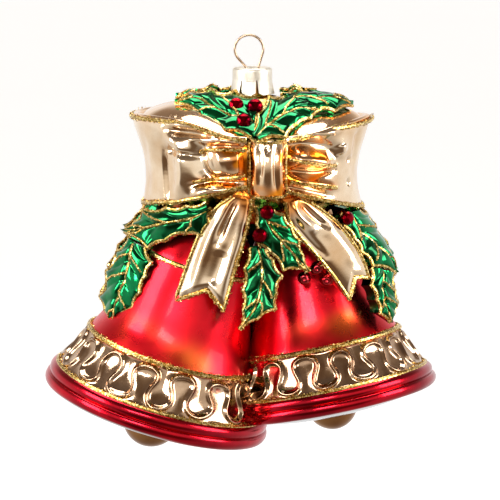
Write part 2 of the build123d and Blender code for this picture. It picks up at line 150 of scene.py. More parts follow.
def wobble(points, size, seed):
    """Smooth noise in -1..1 at each point, with features about size millimetres across."""
    waves = np.random.default_rng(seed)
    total = np.zeros(points.shape[:-1])
    for _ in range(9):
        direction = waves.normal(size=points.shape[-1])
        direction *= 2 * math.pi / (size * waves.uniform(1.2, 3.2)) / np.linalg.norm(direction)
        total += np.sin(points @ direction + waves.uniform(0, 2 * math.pi))
    return total / 4.0


def fade(value, low, high):
    """0 below low, 1 above high, smooth between."""
    t = np.clip((value - low) / (high - low), 0, 1)
    return t * t * (3 - 2 * t)


def line_distance(x, z, line):
    """Distance from each point to a polyline, and how far along it the nearest point is."""
    best = np.full(x.shape, 1e9)
    where = np.zeros(x.shape)
    count = len(line) - 1
    for k, (a, b) in enumerate(zip(line, line[1:])):
        run = b - a
        t = np.clip(((x - a[0]) * run[0] + (z - a[1]) * run[1]) / (run @ run), 0, 1)
        gap = np.hypot(x - a[0] - t * run[0], z - a[1] - t * run[1])
        near = gap < best
        best = np.where(near, gap, best)
        where = np.where(near, (k + t) / count, where)
    return best, where


def strokes(x, z, marks):
    """Sum of soft ridges (height > 0) and grooves (height < 0): (points, width, height)."""
    total = np.zeros(x.shape)
    for points, width, height in marks:
        gap, where = line_distance(x, z, smooth_line(points, 14))
        ends = fade(where, -0.05, 0.2) * (1 - fade(where, 0.75, 1.05))
        total += height * (0.25 + 0.75 * ends) * np.exp(-((gap / width) ** 2))
    return total


# ---------------------------------------------------------------------------- meshes
def grid_faces(rows, columns, wrap_rows=False, wrap_columns=False):
    """Quads of a grid of points numbered row by row."""
    r = np.arange(rows if wrap_rows else rows - 1)
    c = np.arange(columns if wrap_columns else columns - 1)
    r, c = np.meshgrid(r, c, indexing="ij")
    r2 = (r + 1) % rows
    c2 = (c + 1) % columns
    quads = np.stack([r * columns + c, r * columns + c2, r2 * columns + c2, r2 * columns + c], axis=-1)
    return quads.reshape(-1, 4)


def make_piece(name, points, faces, material, sharp=55, keep=None, marks=None, body="glass"):
    """A mesh object from points in millimetres, riding on a body and standing for its CAD node.

    sharp is the angle above which an edge is sharp, keep says which points stay, and marks is the share of
    the material's second colour at each point.
    """
    points = np.asarray(points, float).reshape(-1, 3)
    faces = [list(map(int, face)) for face in faces]
    if keep is not None:
        faces = [face for face in faces if keep[face].any()]
    mesh = bpy.data.meshes.new(name)
    mesh.from_pydata((points * MM).tolist(), [], faces)
    if marks is not None:
        layer = mesh.attributes.new("accent_and_painted_highlight", "FLOAT", "POINT")
        layer.data.foreach_set("value", np.asarray(marks, np.float32).ravel())
    work = bmesh.new()
    work.from_mesh(mesh)
    bmesh.ops.remove_doubles(work, verts=work.verts, dist=2e-6)
    bmesh.ops.delete(work, geom=[v for v in work.verts if not v.link_faces], context="VERTS")
    bmesh.ops.recalc_face_normals(work, faces=work.faces)
    work.to_mesh(mesh)
    work.free()
    for polygon in mesh.polygons:
        polygon.use_smooth = sharp > 0
    if sharp > 0:
        mesh.set_sharp_from_angle(angle=math.radians(sharp))
    mesh.materials.append(material)
    piece = bpy.data.objects.new(name, mesh)
    bpy.context.scene.collection.objects.link(piece)
    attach(piece, body)
    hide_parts(name)


def closed(front, back):
    """Closed points and faces of a plate between two grids of points: both sides and the wall round them."""
    rows, columns = front.shape[:2]
    count = rows * columns
    quads = grid_faces(rows, columns)
    faces = [list(f) for f in quads] + [list(f[::-1] + count) for f in quads]
    ring = list(range(columns)) + [r * columns + columns - 1 for r in range(1, rows)]
    ring += [(rows - 1) * columns + c for c in range(columns - 2, -1, -1)]
    ring += [r * columns for r in range(rows - 2, 0, -1)]
    faces += [[a, b, b + count, a + count] for a, b in zip(ring, ring[1:] + ring[:1])]
    return np.vstack([front.reshape(-1, 3), back.reshape(-1, 3)]), faces


def join(parts):
    """Several (points, faces) as one."""
    points, faces, start = [], [], 0
    for part_points, part_faces in parts:
        part_points = np.asarray(part_points, float).reshape(-1, 3)
        points.append(part_points)
        faces += [[int(i) + start for i in face] for face in part_faces]
        start += len(part_points)
    return np.vstack(points), faces


def tube(line, radius, sides):
    """A round tube along a line of 3-D points."""
    forward = np.gradient(line, axis=0)
    forward /= np.linalg.norm(forward, axis=1)[:, None]
    side = np.cross(forward[0], [0.3, 0.9, 0.2])
    rings = []
    for point, ahead in zip(line, forward):
        side = side - ahead * (side @ ahead)
        side /= np.linalg.norm(side)
        up = np.cross(ahead, side)
        turn = np.linspace(0, 2 * math.pi, sides, endpoint=False)[:, None]
        rings.append(point + radius * (np.cos(turn) * side + np.sin(turn) * up))
    faces = [list(f) for f in grid_faces(len(line), sides, wrap_columns=True)]
    faces.append(list(range(sides))[::-1])
    faces.append([(len(line) - 1) * sides + k for k in range(sides)])
    return np.array(rings).reshape(-1, 3), faces


# ------------------------------------------------------------------------- materials
class Nodes:
    """A small helper that builds a principled material from noise."""

    def __init__(self, name, **values):
        self.material = bpy.data.materials.new(name)
        self.material.use_nodes = True
        self.tree = self.material.node_tree
        self.shader = self.tree.nodes["Principled BSDF"]
        for key, value in values.items():
            socket = self.shader.inputs[key.replace("_", " ")]
            socket.default_value = (*value, 1.0) if isinstance(value, tuple) else value
        self.place = self.tree.nodes.new("ShaderNodeTexCoord").outputs["Object"]

    def link(self, source, target):
        self.tree.links.new(source, target)

    def noise(self, scale, detail=4.0, roughness=0.55):
        node = self.tree.nodes.new("ShaderNodeTexNoise")
        node.inputs["Scale"].default_value = scale
        node.inputs["Detail"].default_value = detail
        node.inputs["Roughness"].default_value = roughness
        self.link(self.place, node.inputs["Vector"])
        return node.outputs["Fac"]

    def cells(self, scale):
        node = self.tree.nodes.new("ShaderNodeTexVoronoi")
        node.inputs["Scale"].default_value = scale
        self.link(self.place, node.inputs["Vector"])
        return node.outputs["Color"]

    def attribute(self, name):
        node = self.tree.nodes.new("ShaderNodeAttribute")
        node.attribute_name = name
        return node.outputs["Fac"]

    def ramp(self, value, *stops):
        node = self.tree.nodes.new("ShaderNodeValToRGB")
        bar = node.color_ramp.elements
        while len(bar) < len(stops):
            bar.new(0.5)
        for element, (position, color) in zip(bar, stops):
            element.position = position
            element.color = (*color, 1.0) if isinstance(color, tuple) else (color, color, color, 1.0)
        self.link(value, node.inputs["Fac"])
        return node.outputs["Color"]

    def mix(self, share, first, second):
        node = self.tree.nodes.new("ShaderNodeMix")
        node.data_type = "RGBA"
        self.link(share, node.inputs["Factor"])
        for source, target in ((first, node.inputs["A"]), (second, node.inputs["B"])):
            if isinstance(source, tuple):
                target.default_value = (*source, 1.0)
            else:
                self.link(source, target)
        return node.outputs["Result"]

    def bump(self, height, strength, distance):
        node = self.tree.nodes.new("ShaderNodeBump")
        node.inputs["Strength"].default_value = strength
        node.inputs["Distance"].default_value = distance
        self.link(height, node.inputs["Height"])
        self.link(node.outputs["Normal"], self.shader.inputs["Normal"])

    def color(self, source):
        self.link(source, self.shader.inputs["Base Color"])

    def roughness(self, source):
        self.link(source, self.shader.inputs["Roughness"])


def lacquer(name, deep, bright, rough, noise_scale=60.0, coat=0.6, bump=0.15, accent_and_painted_highlight=None):
    """Transparent lacquer over silvered glass: a coloured mirror with soft unevenness."""
    look = Nodes(name, Metallic=1.0, Coat_Weight=coat, Coat_Roughness=0.06)
    tone = look.ramp(look.noise(noise_scale), (0.3, deep), (0.7, bright))
    # The second colour is mixed in where the point attribute marks it: second tones on most pieces (paint accents,
    # bare silver), painted highlights on the red bell shells.
    if accent_and_painted_highlight:
        tone = look.mix(look.attribute("accent_and_painted_highlight"), tone, accent_and_painted_highlight)
    look.color(tone)
    look.roughness(look.ramp(look.noise(noise_scale * 3), (0.3, rough * 0.75), (0.75, rough * 1.3)))
    look.bump(look.noise(noise_scale * 5, detail=3), bump, 0.0002)
    return look.material


def glitter_material(name, dark, middle, light):
    """Metal flakes, each with its own tone."""
    look = Nodes(name, Metallic=1.0)
    tone = look.ramp(look.cells(2600.0), (0.15, dark), (0.5, middle), (0.85, light))
    look.color(tone)
    look.roughness(look.ramp(look.noise(1800.0), (0.3, 0.18), (0.7, 0.42)))
    look.bump(look.noise(5000.0), 0.25, 0.0001)
    return look.material


def stone_material(name, deep, bright):
    """Dark red cut glass, foiled behind."""
    look = Nodes(name, Metallic=1.0)
    look.color(look.ramp(look.noise(420.0), (0.35, deep), (0.7, bright)))
    look.roughness(look.ramp(look.noise(500.0), (0.3, 0.08), (0.7, 0.22)))
    look.bump(look.noise(900.0), 0.08, 0.0001)
    return look.material


def metal_material(name, dark, light, rough, grain):
    """Thin plated metal with fine scratches."""
    look = Nodes(name, Metallic=1.0)
    look.color(look.ramp(look.noise(grain), (0.3, dark), (0.7, light)))
    look.roughness(look.ramp(look.noise(grain * 4), (0.3, rough * 0.7), (0.75, rough * 1.4)))
    look.bump(look.noise(grain * 6), 0.2, 0.0001)
    return look.material


# The red lacquer's second colour, orange, is painted highlight on the bell shells.
RED = lacquer("red_lacquer", (0.50, 0.004, 0.014), (0.86, 0.012, 0.022), 0.30, 45.0, 0.12, 0.1,
              (1.0, 0.16, 0.03))
RIM = lacquer("rim_lacquer", (0.26, 0.002, 0.010), (0.62, 0.006, 0.018), 0.20, 60.0, 0.15, 0.1,
              (0.88, 0.88, 0.90))
GREEN = lacquer("green_lacquer", (0.0, 0.055, 0.014), (0.002, 0.27, 0.075), 0.13, 120.0, 0.25, 0.15)
BOW = lacquer("bow_gold", (0.76, 0.50, 0.28), (0.96, 0.80, 0.60), 0.13, 75.0, 0.10, 0.12, (0.95, 0.30, 0.015))
BAND = lacquer("band_gold", (0.32, 0.18, 0.10), (0.66, 0.46, 0.30), 0.12, 140.0, 0.2, 0.15,
               (0.62, 0.01, 0.01))
KNOB = lacquer("knob_gold", (0.24, 0.09, 0.025), (0.46, 0.23, 0.08), 0.14, 90.0, 0.2, 0.1)
SILVER = lacquer("silvered_glass", (0.72, 0.72, 0.75), (0.86, 0.86, 0.88), 0.16, 60.0, 0.2, 0.1)
AMBER = lacquer("amber_gold", (0.45, 0.20, 0.03), (0.80, 0.45, 0.12), 0.16, 260.0, 0.3, 0.5)
BERRY = lacquer("berry_red", (0.24, 0.0, 0.005), (0.56, 0.004, 0.014), 0.10, 200.0, 0.6, 0.1)
STONE = stone_material("stone_red", (0.05, 0.0, 0.004), (0.34, 0.002, 0.008))
GLITTER = glitter_material("gold_glitter", (0.20, 0.10, 0.01), (0.58, 0.36, 0.08), (0.98, 0.78, 0.36))
CAP_METAL = metal_material("cap_metal", (0.70, 0.62, 0.50), (0.82, 0.77, 0.67), 0.42, 400.0)
WIRE_METAL = metal_material("wire_metal", (0.42, 0.29, 0.19), (0.66, 0.50, 0.36), 0.25, 900.0)


# ----------------------------------------------------------------------------- bells
class Bell:
    """A bell's own frame: heights run along its axis from the middle of its mouth."""

    def __init__(self, mouth, leans, size, knob, knob_height, painted_highlights):
        right, back = math.radians(leans[0]), math.radians(leans[1])
        upright = np.array([math.sin(right), 0, math.cos(right)])
        behind = np.array([0.0, 1.0, 0.0])
        self.mouth = np.array(mouth)
        self.across = np.array([math.cos(right), 0, -math.sin(right)])
        self.axis = upright * math.cos(back) + behind * math.sin(back)
        self.depth = behind * math.cos(back) - upright * math.sin(back)
        self.size = size
        self.knob = knob
        self.knob_height = knob_height
        self.painted_highlights = painted_highlights

    def place(self, radius, height, angle):
        """Points at a radius, height and angle; angle 0 is the front, 90 the right."""
        radius, height, angle = np.broadcast_arrays(radius, height, angle)
        radius, height = radius * self.size, height * self.size
        x = radius * np.sin(angle)
        y = -radius * np.cos(angle)
        return (self.mouth + x[..., None] * self.across + y[..., None] * self.depth
                + height[..., None] * self.axis)

    def inside(self, points, margin):
        """Which points lie inside the bell by more than margin."""
        local = points - self.mouth
        height = local @ self.axis / self.size
        radius = np.hypot(local @ self.across, local @ self.depth) / self.size
        return radius < outside_radius(height) - margin


# The lists place painted highlights, orange patches mixed into the red lacquer's colour: turn, height and strength.
LEFT = Bell((-25.2, -1.2, -96.1), (16.5, -3.4), 1.02, 7.8, -5.3, [(0.18, 17.5, 1.0), (-0.55, 21.0, 0.45)])
RIGHT = Bell((22.2, 2.8, -94.9), (-11.5, 3.8), 0.96, 7.5, -3.1, [(0.43, 20.5, 1.0), (-0.10, 22.0, 0.4)])


def outside_radius(height):
    """Outer radius of a bell at each height, 0 above and below it."""
    steps = [(0.0, -3.0), (28.9, -2.9), (30.9, -0.9), (30.3, 1.6), (28.4, 3.2)] + DOME
    return np.interp(height, [z for r, z in steps], [r for r, z in steps])


def full_turn(count):
    """count angles evenly spaced round a circle, as a column."""
    return np.linspace(0, 2 * math.pi, count, endpoint=False)[:, None]


def revolved(bell, name, profile, count, material, cut, marks=None, push=0, sharp=55):
    """A closed profile turned round a bell's axis, with push added to the radius, less another bell."""
    angle = full_turn(count)
    radius, height = np.array(profile, float).T
    points = bell.place(radius + push, height, angle)
    normal = bell.place(1.0, 0 * height, angle) - bell.mouth
    points = points + normal * (0.08 * (wobble(points, 9.0, 31) - 1.2))[..., None]
    faces = grid_faces(count, len(profile), wrap_rows=True, wrap_columns=True)
    flat = points.reshape(-1, 3)
    make_piece(name, flat, faces, material, sharp, None if cut is None else ~cut.inside(flat, 0.7), marks)


def meander(turn, count=160):
    """One period of a meandering line, scaled to 0..1 along and 0..1 up."""
    s = np.linspace(0, 2 * math.pi, count + 1)
    heading = turn * np.sin(s)
    x = np.concatenate([[0], np.cumsum((np.cos(heading[1:]) + np.cos(heading[:-1])) / 2)])
    y = np.concatenate([[0], np.cumsum((np.sin(heading[1:]) + np.sin(heading[:-1])) / 2)])
    return np.stack([x / x[-1], (y - y.min()) / (y.max() - y.min())], axis=1)


BAND_PITCHES = 15
BAND_SLANT = math.dist(BAND_FOOT, BAND_HEAD)


def band_relief(angle, share, seed):
    """Height of the embossed serpentine ridge on the band."""
    mean_radius = (BAND_FOOT[0] + BAND_HEAD[0]) / 2
    pitch = 2 * math.pi * mean_radius / BAND_PITCHES
    spot = np.stack([np.cos(angle) * mean_radius, np.sin(angle) * mean_radius, share * BAND_SLANT], axis=-1)
    x = angle * mean_radius + 0.55 * wobble(spot, 7.0, seed)
    y = share * BAND_SLANT + 0.35 * wobble(spot, 6.0, seed + 1)
    line = meander(1.86) * [pitch, BAND_SLANT - 3.0] + [0, 1.5]
    x = np.mod(x, pitch)
    best = np.full(x.shape, 1e9)
    for shift in (-pitch, 0, pitch):
        gap, _ = line_distance(x, y, line[::4] + [shift, 0])
        best = np.minimum(best, gap)
    ridge = 0.85 * np.exp(-((best / 0.52) ** 2))
    dish = -0.35 * (1 - np.exp(-((best / 1.6) ** 2)))
    ends = fade(share, 0.02, 0.10) * (1 - fade(share, 0.90, 0.98))
    return (ridge + dish + 0.12 * wobble(spot, 3.5, seed + 2)) * ends


def build_bell(bell, name, seed, cut):
    """Shell, band, rim, floor and clapper of one bell."""
    dome = smooth_line(DOME, 60)
    inner = smooth_line([(max(r - GLASS, 0.0), z - (GLASS if r < 12 else 0.0)) for r, z in DOME], 24)[::-1]
    loop = np.vstack([dome, inner])
    turn = full_turn(240)
    # Painted highlights: orange mixed into the shell's red round the listed turns and heights, broken up by noise.
    painted_highlights = 0
    for angle, height, share in bell.painted_highlights:
        around = np.abs(np.mod(turn - angle + math.pi / 2, math.pi) - math.pi / 2) * 21.0
        painted_highlights = painted_highlights + share * np.exp(-((around / 5.0) ** 2) - ((loop[:, 1] - height) / 3.6) ** 2)
    spot = bell.place(loop[:, 0], loop[:, 1], turn)
    painted_highlights = np.clip(painted_highlights * fade(wobble(spot, 6.0, seed + 4), -1.2, 0.6), 0, 1)
    revolved(bell, name + "_shell", loop, len(turn), RED, cut, painted_highlights)

    share = np.linspace(0, 1, 56)
    radii = BAND_FOOT[0] + share * (BAND_HEAD[0] - BAND_FOOT[0]) - 0.5 * np.sin(share * math.pi)
    heights = BAND_FOOT[1] + share * (BAND_HEAD[1] - BAND_FOOT[1])
    loop = list(zip(radii, heights)) + [(radii[-1] - GLASS, heights[-1]), (radii[0] - GLASS, heights[0])]
    turn = full_turn(1260)
    flat = np.zeros((len(turn), 2))
    push = np.hstack([band_relief(turn + 0 * share, share + 0 * turn, seed), flat])
    paint = np.hstack([fade(share, 0.90, 0.96) + 0 * turn, flat])
    revolved(bell, name + "_band", loop, len(turn), BAND, cut, paint, push, 80)

    groove = 0.62
    loop = [(RIM_UPPER[0] + RIM_ROLL * math.cos(a), RIM_UPPER[1] + RIM_ROLL * math.sin(a))
            for a in np.linspace(2.35, -groove, 30)]
    loop += [(RIM_LOWER[0] + RIM_ROLL * math.cos(a), RIM_LOWER[1] + RIM_ROLL * math.sin(a))
             for a in np.linspace(groove, -2.3, 36)]
    loop = np.array(loop + [(RIM_INNER, -0.4), (RIM_INNER, 2.0)])
    turn = full_turn(360)
    bare = fade(-loop[:, 1], 2.0, 2.5) * fade(np.cos(turn + 1.3), -0.2, 0.5) * (cut is None)
    revolved(bell, name + "_rim", loop, len(turn), RIM, cut, bare)

    low = [((RIM_INNER + 0.6) * math.sin(a), FLOOR_EDGE - FLOOR_BULGE * math.cos(a))
           for a in np.linspace(math.pi / 2, 0, 24)]
    revolved(bell, name + "_floor", low + [(r, z + GLASS) for r, z in low[::-3]], 180, SILVER, cut)

    ball = [(bell.knob * math.sin(a), bell.knob_height + bell.knob * math.cos(a))
            for a in np.linspace(0.85, math.pi, 30)]
    revolved(bell, name + "_clapper", ball + [(0.0, ball[0][1])], 96, KNOB, cut)


build_bell(LEFT, "bell_left", 11, None)
build_bell(RIGHT, "bell_right", 23, LEFT)


# --------------------------------------------------------------- garland surfaces
class Stack:
    """A smooth surface through level ellipses, addressed by (x, z) in the front view."""

    def __init__(self, levels):
        heights = [level[0] for level in levels]
        self.width = cubic(heights, [level[1] for level in levels])
        self.reach = cubic(heights, [level[2] for level in levels])

    def turn(self, x, z):
        """The angle round the stack of a point that shows at x."""
        return np.arcsin(np.clip(x / self.width(z), -1, 1))

    def point(self, turn, z, side=FRONT):
        x, y = self.width(z) * np.sin(turn), -side * self.reach(z) * np.cos(turn)
        return np.stack([x, y, z + 0 * turn], axis=-1)

    def normal(self, turn, z, side=FRONT):
        step = 1e-3
        a = self.point(turn + step, z, side) - self.point(turn - step, z, side)
        b = self.point(turn, z + step * 20, side) - self.point(turn, z - step * 20, side)
        n = np.cross(a, b) * side
        return n / np.linalg.norm(n, axis=-1)[..., None]


GARLAND_SURFACE = Stack(GARLAND)
WREATH_SURFACE = Stack(WREATH)


class Patch:
    """A raised form between a left and a right line, with a middle line, on a stack."""

    def __init__(self, surface, side, left, middle, right, columns, relief, depth):
        rows = len(left)
        lines = []
        for line in (left, middle, right):
            lines.append(np.stack([surface.turn(line[:, 0], line[:, 1]), line[:, 1]], axis=1))
        v = np.linspace(0, 1, columns)
        share = np.where(v < 0.5, 2 * v, 2 * v - 1)[None, :, None]
        first = np.where((v < 0.5)[None, :, None], lines[0][:, None], lines[1][:, None])
        second = np.where((v < 0.5)[None, :, None], lines[1][:, None], lines[2][:, None])
        plan = first + (second - first) * share
        turn, z = plan[..., 0], plan[..., 1]
        u = np.linspace(0, 1, rows)[:, None] + 0 * v
        v = v[None, :] + 0 * u
        base = surface.point(turn, z, side)
        normal = surface.normal(turn, z, side)
        edge = 0.5 * np.abs(2 * v - 1) ** 10
        self.points = base + normal * (relief(u, v, base[..., 0], base[..., 2]) - edge)[..., None]
        self.normal = normal
        self.back = base - normal * (depth * (1 - 0.75 * u ** 8))[..., None]
        self.rows, self.columns = rows, columns

    def line(self, u, v, lift, width):
        """A glitter line on the front through (u, v) positions: points, normals and width."""
        u, v = np.broadcast_arrays(u, v)
        r = np.clip(u, 0, 1) * (self.rows - 1)
        c = np.clip(v, 0, 1) * (self.columns - 1)
        r0 = np.clip(r.astype(int), 0, self.rows - 2)
        c0 = np.clip(c.astype(int), 0, self.columns - 2)
        fr, fc = (r - r0)[:, None], (c - c0)[:, None]

        def sample(grid):
            return ((grid[r0, c0] * (1 - fr) + grid[r0 + 1, c0] * fr) * (1 - fc)
                    + (grid[r0, c0 + 1] * (1 - fr) + grid[r0 + 1, c0 + 1] * fr) * fc)

        normal = sample(self.normal)
        return sample(self.points) + normal * lift, normal, width


# --------------------------------------------------------------------------- glitter
FLAKE = np.array([[0, 0, 1.0], [0.94, 0, -0.33], [-0.47, 0.82, -0.33], [-0.47, -0.82, -0.33]])
FLAKE_FACES = np.array([[0, 1, 2], [0, 2, 3], [0, 3, 1], [1, 3, 2]])
FLAKE_SIZE = 0.21
FLAKES_PER_AREA = 15
GLUE_SHARE = 0.34


def flakes_along(line, normal, width, density):
    """Small metal grains heaped along a line of points."""
    length = np.concatenate([[0], np.cumsum(np.linalg.norm(np.diff(line, axis=0), axis=1))])
    count = max(4, int(length[-1] * density))
    at = rng.uniform(0, length[-1], count)
    spots = np.stack([np.interp(at, length, line[:, k]) for k in range(3)], axis=1)
    out = np.stack([np.interp(at, length, normal[:, k]) for k in range(3)], axis=1)
    ahead = np.gradient(line, axis=0)
    ahead = np.stack([np.interp(at, length, ahead[:, k]) for k in range(3)], axis=1)
    across = np.cross(out, ahead)
    across /= np.linalg.norm(across, axis=1)[:, None] + 1e-9
    ragged = 1 + 0.25 * np.sin(at * 2.1 + 3 * np.sin(at * 0.7))
    offset = np.clip(rng.normal(0, 0.42, count), -1, 1) * width / 2 * ragged
    heap = np.sqrt(np.clip(1 - (offset / (width / 2)) ** 2, 0, 1))
    lift = 0.42 * width / 2 * heap * rng.uniform(0.4, 1.0, count)
    spots = spots + across * offset[:, None] + out * lift[:, None]
    spin = rng.normal(size=(count, 3, 3))
    spin, _ = np.linalg.qr(spin)
    scale = FLAKE_SIZE * rng.uniform(0.6, 1.25, count)
    points = np.einsum("nij,kj->nki", spin, FLAKE) * scale[:, None, None] + spots[:, None, :]
    faces = FLAKE_FACES[None] + (np.arange(count) * 4)[:, None, None]
    return points.reshape(-1, 3), faces.reshape(-1, 3).tolist()


def glitter_piece(name, lines):
    """One group of glitter: each entry is (points, normals, width). Its flakes lie on a bed of glue."""
    parts = []
    for line, normal, width in lines:
        parts.append(tube(line, GLUE_SHARE * width, 7))
        parts.append(flakes_along(line, normal, width, FLAKES_PER_AREA * width))
    make_piece(name, *join(parts), GLITTER, 0)


def bell_ring(bell, radius, height, other):
    """Glitter lines round a bell, left out where they would run inside the other bell."""
    angle = np.radians(np.arange(0.0, 361.5, 1.5))
    points = bell.place(radius, height, angle)
    normal = bell.place(1.0, 0.0, angle) - bell.mouth
    normal = normal * 0.8 + bell.axis * 0.6
    outside = ~other.inside(points, 0.3)
    runs = np.split(np.arange(len(angle)), np.flatnonzero(np.diff(outside)) + 1)
    return [(points[run], normal[run], 2.0) for run in runs if outside[run[0]] and len(run) > 2]


BAND_LINES = [(BAND_FOOT[0] + 0.1, BAND_FOOT[1] + 0.2), (BAND_HEAD[0] + 0.1, BAND_HEAD[1])]
for side, bell, other, edges in (
    ("left", LEFT, RIGHT, BAND_LINES + [WAIST]),
    ("right", RIGHT, LEFT, BAND_LINES),
):
    rings = [ring for radius, height in edges for ring in bell_ring(bell, radius, height, other)]
    glitter_piece("glitter_bands_" + side, rings)


# ----------------------------------------------------------------------------- bow
LOOP_ROUND = 28.0
LOOP_DEEP = 7.0


class Loop:
    """One loop of the bow, wrapped round the side of the body from front to back."""

    def __init__(self, sign, levels, top, bottom, marks, warm, start, seed):
        self.sign = sign
        self.surface = Stack(levels)
        self.seed = seed
        self.marks = [([self.unroll(x, z) for x, z in line], width, height) for line, width, height in marks]
        self.warm = [([self.unroll(x, z) for x, z in line], width, height) for line, width, height in warm]
        self.top = self.edge(top)
        self.bottom = self.edge(bottom)
        self.start = self.unroll(start, -30.0)[0] / LOOP_ROUND

    def unroll(self, x, z):
        """A front-view point as distance round the body and height."""
        share = min(1.0, max(-1.0, self.sign * x / float(self.surface.width(z))))
        return (math.asin(share) * LOOP_ROUND, z)

    def edge(self, line):
        flat = [self.unroll(x, z) for x, z in line]
        return cubic([p[0] for p in flat], [p[1] for p in flat])

    def build(self, name):
        """The closed loop, row by row round the body, with a lid that runs inwards from its top hem."""
        up = 84
        whole = np.linspace(self.start, math.pi - self.start, 260)[:, None]
        folded = np.minimum(whole, math.pi - whole)
        v = np.linspace(0, 1, up)[None, :]
        low, high = self.bottom(folded * LOOP_ROUND), self.top(folded * LOOP_ROUND)
        z = low + (high - low) * v
        phi = whole + 0 * v
        base = self.surface.point(self.sign * phi, z)
        normal = self.surface.normal(self.sign * phi, z)
        lay = strokes(folded * LOOP_ROUND + 0 * v, z, self.marks)
        lay = lay + 0.28 * wobble(base, 10.0, self.seed) + 0.06 * wobble(base, 3.5, self.seed + 1)
        hem = np.exp(-((v / 0.035) ** 2)) + np.exp(-(((1 - v) / 0.04) ** 2))
        lay = lay - 0.5 * hem
        gather = np.exp(-((folded - self.start) * LOOP_ROUND / 3.0) ** 2)
        lay = lay - 1.6 * gather
        front = base + normal * lay[..., None]
        flat_out = normal * (1, 1, 0)
        flat_out /= np.linalg.norm(flat_out, axis=-1)[..., None]
        top, out = front[:, -1], flat_out[:, -1]
        up_axis = np.array([0, 0, 1.0])
        section = [front[:, k] for k in range(up)]
        for turn in (0.45, 0.9, 1.35, 1.8, 2.25, 2.7, 3.14):
            section.append(top - out * (0.9 - 0.9 * math.cos(turn)) + up_axis * 0.55 * math.sin(turn))
        section.append(top - out * 2.0 - up_axis * 0.5)
        for inward in (2.6, 3.4, 4.3, 5.4, 6.8, 8.4, 10.2, 12.0, 14.0):
            rise = 2.6 * (1 - math.exp((2.0 - inward) / 3.0)) + 0.12 * inward - 0.7
            section.append(top - out * inward + up_axis * rise)
        section.append(top - out * 14.0 - up_axis * 3.6)
        foot, out = front[:, 0], flat_out[:, 0]
        section.append(foot - out * LOOP_DEEP + up_axis * 0.6)
        section.append(foot - out * 1.6 + up_axis * 0.35)
        section.append(foot - out * 0.5 - up_axis * 0.1)
        points = np.stack(section, axis=1)
        rows, columns = points.shape[:2]
        faces = [list(f) for f in grid_faces(rows, columns, wrap_columns=True)]
        faces.append(list(range(columns))[::-1])
        faces.append([(rows - 1) * columns + k for k in range(columns)])
        tint = np.zeros((rows, columns))
        tint[:, :up] = 0.55 * hem * fade(wobble(base, 12.0, self.seed + 5), -0.5, 0.6)
        tint[:, :up] = np.maximum(tint[:, :up], self.warmth(folded * LOOP_ROUND + 0 * v, z))
        tint[:, up:] = 0.18
        make_piece(name, points, faces, BOW, 60, None, tint)

    def warmth(self, s, z):
        """Where the orange lacquer lies: along the gathers next to the knot."""
        patchy = fade(wobble(np.stack([s, z], axis=-1), 4.0, self.seed + 9), -0.8, 0.4)
        return np.clip(strokes(s, z, self.warm) * (0.35 + 0.65 * patchy), 0, 1)

    def line(self, points_xz, back):
        """A glitter line on the loop's front or back, given in the front view."""
        flat = smooth_line([self.unroll(x, z) for x, z in points_xz], 60)
        phi = flat[:, 0] / LOOP_ROUND
        if back:
            phi = math.pi - phi
        base = self.surface.point(self.sign * phi, flat[:, 1])
        normal = self.surface.normal(self.sign * phi, flat[:, 1])
        height = strokes(flat[:, 0], flat[:, 1], self.marks)
        height = height + 0.28 * wobble(base, 10.0, self.seed)
        return base + normal * (height + 0.1)[:, None], normal, 1.3

    def rim(self, edge, drop):
        """The glitter line along the top or bottom edge, all the way round."""
        whole = np.linspace(self.start, math.pi - self.start, 300)
        z = edge(np.minimum(whole, math.pi - whole) * LOOP_ROUND)
        base = self.surface.point(self.sign * whole, z)
        normal = self.surface.normal(self.sign * whole, z)
        return base + normal * 0.15 - np.array([0, 0, drop]), normal, 1.6


